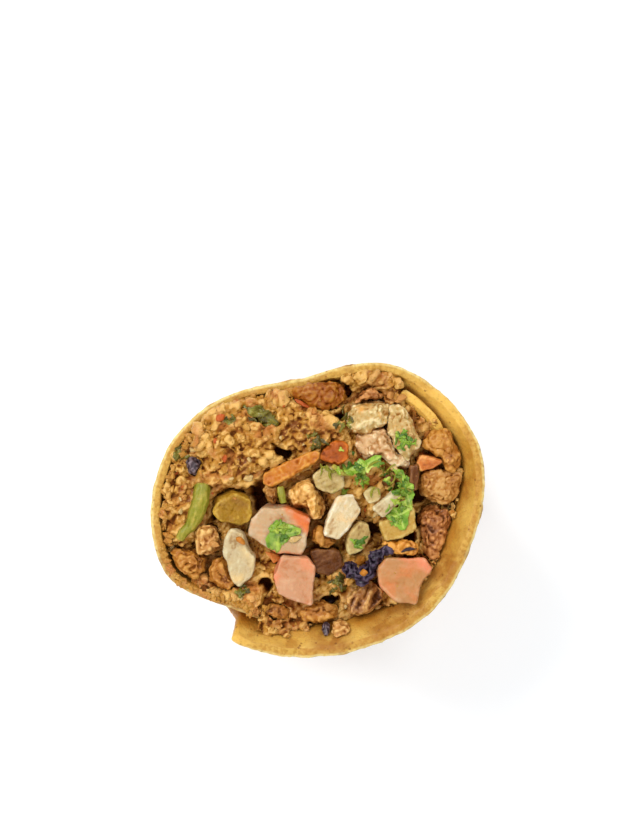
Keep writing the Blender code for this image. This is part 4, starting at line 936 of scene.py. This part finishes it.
def food_look(name, shades, sauce_and_shade_colour, sauce_and_shade_share, spots, rough=(0.28, 0.55), coat=0.15, subsurface=0.12,
              reach=(1.0, 0.5, 0.25), grain=0.5, skin=None, crumbly=False, bright=0.5):
    """Cooked or cut food: three shades by noise and relief, with painted shade in hollows and painted
    highlight on crests, and sauce colour low down, which on the heap also paints shade.
    """
    light, base, dark = shades
    look = Look(name, 0.4, coat, subsurface, reach)
    tint, hollow, low = look.painted("looks")
    # Tone from tint and noise, lighter on crests and darker in hollows: painted highlight and painted
    # shade.
    shade = look.plus(look.times(tint, 0.5), look.times(look.noise(grain * 2.2, 5.0), 0.5))
    shade = look.plus(shade, look.times(look.math("SUBTRACT", 0.5, hollow), 0.7))
    colour = look.blend(look.range(shade, 0.18, 0.46), dark, base)
    colour = look.blend(look.range(shade, 0.5, 0.84), colour, light)
    if spots:
        size, amount, spot, soft = spots
        colour = look.mottle(colour, spot, size, 3.0, 1.0 - amount, 1.0 - amount + soft, warp=0.5)
    # The skin colours cover a piece's own skin; on the heap they paint the gaps near black as painted
    # shadow.
    if skin:
        _, _, edge = look.painted("skin")
        colour = look.blend(edge, colour, look.blend(look.noise(1.4), *skin))
    # Sauce colour where the low channel is high: toward the bottom of each piece, in the heap's browned
    # patches, and as painted shade in the heap's deep places, large hollows and gaps.
    sauce_and_shade = look.range(look.plus(low, look.times(look.noise(1.6, 4.0), 0.7)), 0.62, 1.15)
    colour = look.blend(look.times(sauce_and_shade, sauce_and_shade_share), colour, sauce_and_shade_colour)
    # Painted highlight: crests are blended toward a colour lighter than the lightest shade.
    colour = look.blend(look.range(hollow, 0.44, 0.12, 0.0, bright), colour, lighter(light, 14))
    # Painted shade: hollows are darkened toward half the darkest shade.
    crease = look.times(look.range(hollow, 0.64, 0.95), 0.6)
    colour = look.blend(crease, colour, tuple(int(c * 0.5) for c in dark))
    look.set(Base_Color=colour, Specular_IOR_Level=look.range(hollow, 0.42, 0.72, 0.24, 0.02),
             Roughness=look.range(look.noise(1.1, 3.0), 0.34, 0.66, *rough))
    if coat:
        look.set(Coat_Weight=look.range(hollow, 0.4, 0.66, coat, 0.0))
    layers = [(look.noise(grain, 4.0), 0.16), (look.noise(grain * 0.4, 2.0), 0.06)]
    if crumbly:
        layers.append((look.range(look.dots(0.9), 0.0, 0.6, 1.0, 0.0), 0.14))
        layers.append((look.noise(0.7, 3.0, stretch=((4.0, 1.0, 1.0), HEAP_GRAIN)), 0.3))
    look.bump(*layers)
    return look.material


def leaf_look(name, light, base, dark):
    """Thin herb leaf with paler veins."""
    look = Look(name, 0.42, 0.25, 0.3, (0.5, 1.0, 0.25))
    vein, shade, _ = look.painted("looks")
    deep = look.plus(look.times(look.noise(1.6, 4.0), 0.6), look.times(shade, 0.5))
    colour = look.blend(look.range(deep, 0.3, 0.8), dark, base)
    colour = look.blend(look.range(look.noise(3.0, 3.0), 0.5, 0.7, 0.0, 0.7), colour, light)
    colour = look.blend(look.times(vein, 0.22), colour, lighter(light, 30))
    look.set(Base_Color=colour, Roughness=look.range(look.noise(1.0), 0.35, 0.65, 0.3, 0.5))
    look.bump((look.noise(0.5, 3.0), 0.1))
    return look.material


def make_looks():
    """Every material, by name."""
    looks = {"tortilla": tortilla_look()}
    for name, (family, *shades) in FOODS.items():
        if len(shades) == 3:
            size, amount, soft = MEAT_SPOTS
            shades += [MEAT_SAUCE, 0.55, (size, amount, lighter(shades[0], 26), soft)]
        looks[name] = food_look(name, shades[:3], *shades[3:], **FAMILIES[family])
    for name, shades in HERB_LOOKS.items():
        looks[name] = leaf_look(name, *shades)
    return looks


# ---- filling and pieces ----

UP = Vector((0, 0, 1))
ABOVE = HEIGHT + 20.0      # well above everything


def tree_of(objects):
    """Search tree over several objects' faces, in millimetres."""
    points, faces = [], []
    for obj in objects:
        start = len(points)
        points += [tuple(p) for p in read_points(obj)]
        faces += [[start + k for k in face.vertices] for face in obj.data.polygons]
    return BVHTree.FromPolygons(points, faces)


def ground(tree, x, y):
    """Highest point of a tree under a place and its normal, or nothing."""
    return tree.ray_cast(Vector((x, y, ABOVE)), -UP)[:2]


def dress_piece(node, food, look, grain, seed, looks):
    """Piece in the solid's place with its real surface."""
    voxel, rounds, layers = KINDS[OTHER_KINDS.get(node, food)]
    obj = remeshed(f"{node}_piece", welded_copy(node), voxel, rounds)
    points = read_points(obj)
    moved, tint = roughen(points, read_normals(obj), layers, grain, seed)
    write_points(obj, moved)
    depth = ROUGH_HOLLOW if food in ROUGH_FOODS else FINE_HOLLOW
    # Hollowness for the painted shade in hollows and the painted highlight on crests; low marks each
    # piece's lower part for the sauce colour.
    hollow = hollowness(obj, moved, read_normals(obj), 5, depth)
    low = smoothstep((moved[:, 2].max() - moved[:, 2] - 0.8) / 4.0)
    paint(obj, "looks", (tint, hollow, low))
    skin = np.zeros(len(moved))
    middle = (moved.min(0) + moved.max(0)) / 2
    for direction, start in SKIN.get(node, ()):
        a = math.radians(direction)
        out = (moved[:, 0] - middle[0]) * math.cos(a) + (moved[:, 1] - middle[1]) * math.sin(a)
        skin = np.maximum(skin, smoothstep((out - start + 0.6 * fractal(moved, 1.8, 7)) / 1.8))
    paint(obj, "skin", (0, 0, skin))
    wear(obj, looks, look, OTHER_SLOTS.get(food, food))
    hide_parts(node)
    return obj


def half_of(node, height, upper):
    """Part of a frame node above or below a height, closed again, as a bmesh."""
    bm = welded_copy(node)
    geometry = bm.verts[:] + bm.edges[:] + bm.faces[:]
    result = bmesh.ops.bisect_plane(bm, geom=geometry, plane_co=(0, 0, height * MM), plane_no=UP,
                                    clear_inner=upper, clear_outer=not upper)
    rim = [item for item in result["geom_cut"] if isinstance(item, bmesh.types.BMEdge)]
    bmesh.ops.holes_fill(bm, edges=rim)
    return bm


def lumps(spots, shapes, rng):
    """Points and faces of each (point, normal, size, flatness) lump, turned and stretched at random."""
    for spot, normal, size, flat in spots:
        shape, faces = shapes[rng.randrange(len(shapes))]
        turn = Matrix.Rotation(rng.uniform(0, 2 * math.pi), 3, "Z")
        lean = UP.rotation_difference(Vector(normal)).to_matrix()
        stretch = (rng.uniform(0.8, 1.5), rng.uniform(0.65, 1.05), flat * rng.uniform(0.75, 1.1))
        yield (shape * stretch * size) @ np.array(lean @ turn).T + np.array(spot), faces


def level(bm, tree, reach=2, share=35, above=0.5):
    """Press a heap's loose crumbs down to the even surface that they lie on.

    That surface is the given share (in per cent) of the heights within reach,
    averaged, on a grid of one millimetre.
    """
    rows, columns = 84, 76
    heights = np.full((rows, columns), np.nan)
    for i, j in np.ndindex(rows, columns):
        hit = tree.ray_cast(Vector((i - rows / 2, j - columns / 2, ABOVE)) * MM, -UP)[0]
        if hit:
            heights[i, j] = hit.z / MM
    for fold in ((np.nanpercentile, (share,)), (np.nanmean, ())):
        wide = np.pad(heights, reach, constant_values=np.nan)
        shifts = np.ndindex(2 * reach + 1, 2 * reach + 1)
        stack = np.stack([wide[a:a + rows, b:b + columns] for a, b in shifts])
        stack[:, np.isnan(stack).all(axis=0)] = HEIGHT
        heights = fold[0](stack, *fold[1], axis=0)
    for vert in bm.verts:
        i = min(max(round(vert.co.x / MM + rows / 2), 0), rows - 1)
        j = min(max(round(vert.co.y / MM + columns / 2), 0), columns - 1)
        vert.co.z = min(vert.co.z, (heights[i, j] + above) * MM)


def near_gap(x, y):
    """Whether a place lies in one of the dark gaps."""
    return any(math.hypot(x - AXIS[0] - gx, y - AXIS[1] - gy) < 0.9 * radius for gx, gy, radius in GAPS)


def add_lumps(bm, piece_tree, shapes):
    """Lumps of meat on the heap's upper part, where no piece covers it."""
    tree = BVHTree.FromBMesh(bm)
    rng = random.Random(90)
    spots = []
    while len(spots) < HEAP_LUMPS:
        x, y = rng.uniform(-38, 38), rng.uniform(-34, 34)
        hit, normal = tree.ray_cast(Vector((x, y, ABOVE)) * MM, -UP)[:2]
        if not hit or hit.z / MM < HEIGHT - 9.0 or normal.z < 0.3:
            continue
        cover = ground(piece_tree, x, y)[0]
        if near_gap(x, y) or cover and cover.z > hit.z / MM + 0.8:
            continue
        size = 1.6 + 3.0 * rng.random() ** 1.8
        spots.append((hit / MM + normal * size * rng.uniform(-0.2, 0.0), normal, size, 0.6))
    for body, faces in lumps(spots, shapes, random.Random(91)):
        verts = [bm.verts.new(point) for point in body * MM]
        for face in faces:
            bm.faces.new([verts[k] for k in face])


def make_filling(piece_tree, shapes, looks):
    """Heap of chopped meat: lumps grown together on top, plain where the wrap hides it."""
    upper = half_of("filling", HEAP_FROM, True)
    level(upper, BVHTree.FromBMesh(upper))
    add_lumps(upper, piece_tree, shapes)
    obj = remeshed("filling_heap", upper, HEAP_VOXEL, 3)
    points = read_points(obj)
    normals = read_normals(obj)
    moved, tint = roughen(points, normals, HEAP_LAYERS, HEAP_GRAIN, 301)
    share = smoothstep((points[:, 2] - HEAP_FROM - 1.0) / 2.0)
    moved = points + (moved - points) * share[:, None] + normals * (1, 1, 0) * (0.3 * share)[:, None]
    uneven = 1.3 * fractal(points * (1, 1, 0), 2.6, 321, 2)
    # The gaps are pushed down here and painted near black below as shadow.
    dark = patches(points, GAPS, 0.0, 0.6, uneven)
    moved[:, 2] -= GAP_DEPTH * dark * share

    sunk = np.zeros(len(points))
    for k in np.flatnonzero((moved[:, 2] > HEIGHT - 8.0) & (normals[:, 2] > 0.0)):
        cover = ground(piece_tree, moved[k, 0], moved[k, 1])[0]
        if cover:
            sunk[k] = max(moved[k, 2] - cover.z + CLEARANCE, 0.0)
    mean = neighbours(obj)
    for _ in range(5):
        sunk = np.maximum(sunk, 0.9 * mean(sunk))
    moved[:, 2] -= sunk
    write_points(obj, moved)

    # Painted shade: small hollows and the gaps darken the colour; deep places, large clefts and the gaps
    # get the sauce colour; the gaps also get near-black shadow through the skin channel.
    hollow = hollowness(obj, moved, read_normals(obj), 7, 0.38)
    cleft = hollowness(obj, moved, read_normals(obj), 45, 1.3)
    deep = np.maximum(smoothstep((HEIGHT - 5.0 - moved[:, 2]) / 6.0), 1.4 * (cleft - 0.5))
    deep = np.maximum(deep, patches(points, BROWNED, uneven=2.0 * uneven))
    paint(obj, "skin", (0, 0, smoothstep(1.4 * dark - 0.45)))
    paint(obj, "looks", (tint, np.maximum(hollow, dark), np.maximum(deep * 0.8, dark)))

    base = bpy.data.meshes.new("base")
    lower = half_of("filling", HEAP_FROM + 0.8, False)
    lower.to_mesh(base)
    lower.free()
    joined = bmesh.new()
    joined.from_mesh(obj.data)
    joined.from_mesh(base)
    joined.to_mesh(obj.data)
    joined.free()
    bpy.data.meshes.remove(base)
    wear(obj, looks, "mince", "filling")
    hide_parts("filling")
    return obj


# ---- crumbs, bits and herbs ----

def template(seed, detail=2):
    """Points and faces of a small angular lump about one unit across."""
    bm = bmesh.new()
    bmesh.ops.create_icosphere(bm, subdivisions=detail, radius=0.5)
    points = np.array([tuple(v.co) for v in bm.verts])
    faces = [tuple(v.index for v in f.verts) for f in bm.faces]
    bm.free()
    points *= (1.0 + 0.45 * fractal(points, 0.4, seed, 2))[:, None]
    rng = random.Random(seed)
    for _ in range(9):
        way = np.array([rng.gauss(0, 1) for _ in range(3)])
        way /= np.linalg.norm(way)
        beyond = np.maximum(points @ way - rng.uniform(0.2, 0.38), 0.0)
        points -= 0.95 * beyond[:, None] * way
    return points, faces


def scatter(name, spots, shapes, seed, looks, look, slot):
    """One object of many small lumps: each spot is (point, normal, size, flatness)."""
    rng = random.Random(seed)
    bodies = [(body, faces, 0.25 + 0.5 * rng.random()) for body, faces in lumps(spots, shapes, rng)]
    obj, tint = join(name, bodies, False)
    heights = [body[:, 2] for body, _, _ in bodies]
    # Painted shade: each crumb is darker toward its underside, through its hollow and low channels.
    low = np.concatenate([smoothstep((z.max() - z) / (z.max() - z.min()) - 0.35) for z in heights])
    paint(obj, "looks", (tint, 0.45 + 0.4 * low, 0.3 * low))
    paint(obj, "skin", (0, 0, 0))
    wear(obj, looks, look, slot)
    return obj


def make_bits(tree, looks):
    """Larger loose bits, one object for each look."""
    rng = random.Random(31)
    groups = {}
    for k, (look, (x, y), length, width, height, turn) in enumerate(BITS):
        spot = ground(tree, x + AXIS[0], y + AXIS[1])[0]
        if spot:
            body, faces = template(600 + k, 3)
            spin = np.array(Matrix.Rotation(math.radians(turn), 3, "Z"))
            body = (body * 1.15 * (length, width, height)) @ spin.T
            body += np.array(spot) + (0, 0, 0.25 * height)
            groups.setdefault(look, []).append((body, faces, rng.random()))
    made = []
    for look, bodies in groups.items():
        obj, shade = join(f"bits_{look}", bodies)
        moved, tint = roughen(read_points(obj), read_normals(obj), BIT_LAYERS, 0, 33)
        write_points(obj, moved)
        paint(obj, "looks", (0.3 + 0.4 * shade + 0.4 * (tint - 0.5), 0.5, 0))
        paint(obj, "skin", (0, 0, 0))
        food = look.split("_")[0]
        wear(obj, looks, look, OTHER_SLOTS.get(food, food))
        made.append(obj)
    return made


def wall_spots(tree, count, seed):
    """Places for crumbs along the wall, where the heap meets the wrap."""
    rng = random.Random(seed)
    spots = []
    while len(spots) < count:
        degrees = rng.uniform(0.0, 360.0)
        turned = (degrees - SEAM_ANGLE) % 360.0
        reach = first_inner(np.array([turned]), HEIGHT - 1.0)[0]
        if 4.0 < turned < OVERLAP:
            reach = second_outer(np.array([turned]), HEIGHT - 6.0)[0] - WALL
        reach -= rng.uniform(0.1, 1.5)
        way = np.array((math.cos(math.radians(degrees)), math.sin(math.radians(degrees))))
        size = rng.uniform(0.9, 2.2)
        spot = ground(tree, *((reach - 1.4) * way + AXIS))[0]
        if spot and HEIGHT - 9.0 < spot.z:
            z = min(spot.z - rng.uniform(0.0, 0.6), HEIGHT - 0.2)
            spots.append((Vector((*(reach * way + AXIS), z)), UP, size, 0.8))
    return spots


def spilled_spots(tree, count, seed):
    """Places for crumbs on the sheet's edge where the heap spills over it."""
    rng = random.Random(seed)
    spots = []
    while len(spots) < count:
        x, y, radius = rng.choice(STAINED)
        x += rng.uniform(-0.8, 0.8) * radius
        y += rng.uniform(-0.8, 0.8) * radius
        turned = (math.degrees(math.atan2(y, x)) - SEAM_ANGLE) % 360.0
        past = math.hypot(x, y) - first_inner(np.array([turned]), HEIGHT - 1.0)[0]
        spot, normal = ground(tree, x + AXIS[0], y + AXIS[1])
        if not spot or spot.z < HEIGHT - 1.5 or normal.z < 0.5 or past > rng.uniform(0.0, 1.5):
            continue
        size = rng.uniform(0.7, 1.9)
        spots.append((spot + normal * size * 0.05, normal, size, 0.6))
    return spots


def crumb_spots(heap, others, count, sizes, seed, on_pieces):
    """Places for crumbs all over the heap, a few of them on the larger pieces."""
    rng = random.Random(seed)
    spots = []
    while len(spots) < count:
        x, y = rng.uniform(-37, 37), rng.uniform(-33, 33)
        spot, normal = ground(heap, x, y)
        if not spot or spot.z < HEIGHT - 9.5 or near_gap(x, y):
            continue
        cover = ground(others, x, y)[0]
        size = sizes[0] + (sizes[1] - sizes[0]) * rng.random() ** 2
        if cover and cover.z > spot.z - 0.1:
            if rng.random() > on_pieces:
                continue
            spot, normal = ground(others, x, y)
            size *= 0.6
        if normal.z >= 0.35:
            spots.append((spot + normal * size * 0.04, normal, size, 0.7))
    return spots


def shred(rng, length, width):
    """Thin curved strip of chopped leaf: points and faces of a flat solid."""
    steps = 7
    bend = rng.uniform(-0.9, 0.9)
    lift = rng.uniform(0.0, 0.35) * length
    points, faces = [], []
    for k in range(steps):
        t = k / (steps - 1) - 0.5
        wide = width * (1.0 - (2 * t) ** 4 * 0.8) * rng.uniform(0.75, 1.15) / 2
        a = bend * t
        x, y = length * t * math.cos(a), length * t * math.sin(a)
        z = lift * (4 * t * t) * rng.uniform(0.8, 1.0)
        for side in (-1, 1):
            for height in (-1, 1):
                points.append((x - side * wide * math.sin(a), y + side * wide * math.cos(a),
                               z + 0.07 * height + 0.1 * width * side * math.sin(5 * t)))
    for k in range(steps - 1):
        p, q = 4 * k, 4 * k + 4
        for a, b in ((0, 1), (1, 3), (3, 2), (2, 0)):
            faces.append((p + a, q + a, q + b, p + b))
    faces.append((0, 1, 3, 2))
    p = 4 * (steps - 1)
    faces.append((p + 2, p + 3, p + 1, p))
    return np.array(points), faces


def fragment(rng, size):
    """Torn scrap of leaf: points and faces of a flat lobed solid."""
    columns = 16
    phase = rng.uniform(0, 2 * math.pi)
    lobes = rng.choice((2, 3, 3, 4))
    stretch = rng.uniform(0.5, 1.0)
    bend = rng.uniform(0.1, 0.45)
    points = [(0.0, 0.0, 0.12 * size)]
    for share in (0.5, 1.0):
        for k in range(columns):
            a = 2 * math.pi * k / columns
            reach = size / 2 * (0.72 + 0.28 * math.cos(lobes * a + phase)) * rng.uniform(0.88, 1.12)
            x, y = share * reach * math.cos(a), share * reach * stretch * math.sin(a)
            z = bend * y * y / size + 0.18 * share * size * math.sin(2 * a + phase) * bend
            points.append((x, y, z))
    top = len(points)
    points += [(x, y, z - 0.12) for x, y, z in points]
    faces = []
    for k in range(columns):
        j = (k + 1) % columns
        near, near_next = 1 + k, 1 + j
        far, far_next = near + columns, near_next + columns
        for face in ((0, near, near_next), (near, far, far_next, near_next)):
            faces.append(face)
            faces.append(tuple(top + v for v in reversed(face)))
        faces.append((far, top + far, top + far_next, far_next))
    return np.array(points), faces


def make_herbs(tree, looks):
    """Chopped leaf and stem that lie about on the cut face, one object for each look."""
    rng = random.Random(77)
    groups = {}
    for x0, y0, spread, count, look in HERBS:
        bodies = groups.setdefault(look, [])
        for _ in range(count):
            for _ in range(40):
                x = x0 + AXIS[0] + rng.gauss(0, spread / 2)
                y = y0 + AXIS[1] + rng.gauss(0, spread / 2)
                spot, normal = ground(tree, x, y)
                if spot and spot.z > HEIGHT - 6.0 and normal.z > 0.4:
                    break
            else:
                continue
            if look == "stem":
                body, faces = shred(rng, rng.uniform(1.6, 3.4), rng.uniform(0.3, 0.6))
            elif rng.random() < 0.25:
                body, faces = shred(rng, rng.uniform(1.2, 2.6), rng.uniform(0.4, 0.9))
            else:
                body, faces = fragment(rng, rng.uniform(1.3, 3.0))
            turn = Matrix.Rotation(rng.uniform(0, 2 * math.pi), 3, "Z")
            lean = UP.rotation_difference(normal.lerp(UP, 0.4)).to_matrix()
            body = body @ np.array(lean @ turn).T + np.array(spot) + (0, 0, 0.12)
            bodies.append((body, faces, rng.random()))
    made = []
    for look, bodies in groups.items():
        obj, shade = join(f"herbs_{look}", bodies)
        paint(obj, "looks", (0.3 + 0.4 * shade, 0.5, 0) if look == "stem" else (0, shade, 0))
        paint(obj, "skin", (0, 0, 0))
        wear(obj, looks, look, "cilantro")
        made.append(obj)
    return made


def reach_of(outline, angles):
    """Distance from the middle to a star-shaped outline, for each direction."""
    reach = np.zeros(len(angles))
    corners = np.array(outline)
    following = np.roll(corners, -1, axis=0)
    for k, a in enumerate(angles):
        way = np.array((math.cos(a), math.sin(a)))
        side = np.array((-way[1], way[0]))
        for p, q in zip(corners, following):
            across_p, across_q = p @ side, q @ side
            if (across_p <= 0.0) != (across_q <= 0.0):
                share = across_p / (across_p - across_q)
                reach[k] = max(reach[k], (p + (q - p) * share) @ way)
    return reach


def hung(floor):
    """Heights of a sheet that lies on a floor of rows and columns and spans its hollows."""
    hang = np.maximum(floor, floor.max() - LEAF_SAG)
    for _ in range(12):
        inner = np.vstack((hang[:1], hang[:-1]))
        outer = np.vstack((hang[1:], hang[-1:]))
        mean = (hang + np.roll(hang, 1, 1) + np.roll(hang, -1, 1) + inner + outer) / 5
        hang = np.maximum(mean, floor)
        hang[0] = hang[0].mean()
    return hang


def leaf_faces(rings, columns):
    """Faces of a sheet of rings with a second one under it, joined at the edge."""
    faces = []
    under = (rings + 1) * columns
    for i in range(rings):
        for j in range(columns):
            k = (j + 1) % columns
            p, q, r, t = i * columns + j, i * columns + k, (i + 1) * columns + k, (i + 1) * columns + j
            faces.append((p, t, r, q))
            faces.append((under + p, under + q, under + r, under + t))
    edge = rings * columns
    for j in range(columns):
        k = (j + 1) % columns
        faces.append((edge + j, under + edge + j, under + edge + k, edge + k))
    return faces


def make_leaf(node, look, centre, outline, tree, looks, seed):
    """Leaf with toothed edges and raised veins, lying on what is under it."""
    rings, columns = LEAF_RINGS, LEAF_COLUMNS
    rng = random.Random(seed)
    a = np.linspace(0, 2 * np.pi, columns, endpoint=False)
    reach = reach_of([(x - centre[0], y - centre[1]) for x, y in outline], a)
    reach = 0.5 * reach + 0.25 * (np.roll(reach, 1) + np.roll(reach, -1))
    ring = np.stack((np.cos(a), np.sin(a), 0 * a + seed), axis=1) * 4.0
    reach *= 1.0 + 0.10 * fractal(ring, 1.0, seed, 2)
    share = np.linspace(0, 1, rings + 1)[:, None]
    grid = np.zeros((rings + 1, columns, 3))
    grid[:, :, 0] = centre[0] + AXIS[0] + reach * share * np.cos(a)
    grid[:, :, 1] = centre[1] + AXIS[1] + reach * share * np.sin(a)
    floor = np.zeros((rings + 1, columns))
    for i, j in np.ndindex(floor.shape):
        spot = ground(tree, *grid[i, j, :2])[0]
        floor[i, j] = spot.z if spot else HEIGHT - 3.0
    floor[0] = floor[0].mean()
    fold = fractal(grid.reshape(-1, 3), 2.6, seed + 3, 2).reshape(rings + 1, columns)
    fold = np.maximum(fold, -0.4) * 0.34 * (0.3 + 0.7 * share)
    ahead = np.roll(reach, -4)
    behind = np.array([reach[k - 4] for k in range(columns)])
    lobes = a[reach > 1.02 * np.maximum(behind, ahead)]
    if not len(lobes):
        lobes = [a[reach.argmax()]]
    off = np.min([np.abs(np.angle(np.exp(1j * (a - lobe)))) for lobe in lobes], axis=0)
    vein = np.exp(-((off[None, :] * share * reach) / VEIN_WIDTH) ** 2) * (share < 0.9)
    grid[:, :, 2] = hung(floor) + 0.30 + fold + 0.05 * vein + rng.uniform(0.0, 0.1)
    grid[0, :, 2] = grid[0, :, 2].mean()
    top = grid.reshape(-1, 3)
    points = np.concatenate((top, top - (0, 0, LEAF_THICKNESS)))
    obj = make_object(f"{node}_leaf", points, leaf_faces(rings, columns))
    paint(obj, "looks", (np.tile(vein.ravel(), 2), 0.5 + 0.4 * smooth_noise(points, 1.5, seed), 0))
    weld(obj)
    wear(obj, looks, look, "cilantro")
    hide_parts(node)
    return obj


# ---- stage ----

def make_stage():
    """Pale floor, soft lights and the camera straight above, as in the photograph."""
    corners = [(-FLOOR_REACH, -FLOOR_REACH, 0), (FLOOR_REACH, -FLOOR_REACH, 0),
               (FLOOR_REACH, FLOOR_REACH, 0), (-FLOOR_REACH, FLOOR_REACH, 0)]
    floor = make_object("floor", corners, [(0, 1, 2, 3)])
    look = Look("floor_pale", 0.9)
    look.set(Base_Color=look.blend(look.noise(60.0), (243, 246, 249), (247, 250, 253)))
    floor.data.materials.append(look.material)
    world = bpy.data.worlds.new("studio")
    world.use_nodes = True
    background = world.node_tree.nodes["Background"]
    background.inputs["Color"].default_value = SKY_COLOUR
    background.inputs["Strength"].default_value = SKY_STRENGTH
    bpy.context.scene.world = world
    for name, spot, size, power in LAMPS:
        data = bpy.data.lights.new(name, "AREA")
        data.energy = power
        data.size = size
        lamp = place(name, data)
        lamp.location = spot
        lamp.rotation_euler = (Vector(LAMPS_MEET) - Vector(spot)).to_track_quat("-Z", "Y").to_euler()
    data = bpy.data.cameras.new("camera")
    data.sensor_width = SENSOR
    data.lens = SENSOR * CAMERA_UP / (PHOTO_HEIGHT * PIXEL)
    camera = place("camera", data)
    camera.location = (*CAMERA_OVER, HEIGHT * MM + CAMERA_UP)
    bpy.context.scene.camera = camera
    bpy.context.scene.view_settings.view_transform = "Standard"


def main():
    """Dress every solid, add what is scattered on it, and set the stage."""
    looks = make_looks()
    wrap = make_wrap()
    wear(wrap, looks, "tortilla", "tortilla")
    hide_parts("tortilla")
    shapes = [template(seed) for seed in range(400, 412)]
    heap = make_filling(tree_of([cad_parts[piece[0]] for piece in PIECES]), shapes, looks)
    dressed = [dress_piece(*piece, 1000 + 37 * k, looks) for k, piece in enumerate(PIECES)]
    heap_tree = tree_of([heap])
    piece_tree = tree_of(dressed)
    crumbs = []
    for name, seed, look, slot, *on_heap in CRUMBS:
        if on_heap:
            count, sizes, on_pieces = on_heap
            spots = crumb_spots(heap_tree, piece_tree, count, sizes, seed, on_pieces)
        else:
            spots = wall_spots(heap_tree, WALL_CRUMBS, seed)
            spots += spilled_spots(tree_of([wrap]), SPILLED_CRUMBS, seed + 2)
        crumbs.append(scatter(name, spots, shapes, seed + 1, looks, look, slot))
    bits = make_bits(tree_of([heap] + dressed), looks)
    under = tree_of([heap] + dressed + crumbs[:1])
    leaves = [make_leaf(*leaf, under, looks, 50 + k) for k, leaf in enumerate(LEAVES)]
    herbs = make_herbs(tree_of([heap] + dressed + bits + leaves), looks)
    for obj in [wrap, heap] + dressed + crumbs + bits + leaves + herbs:
        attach(obj, "root")
    make_stage()


main()
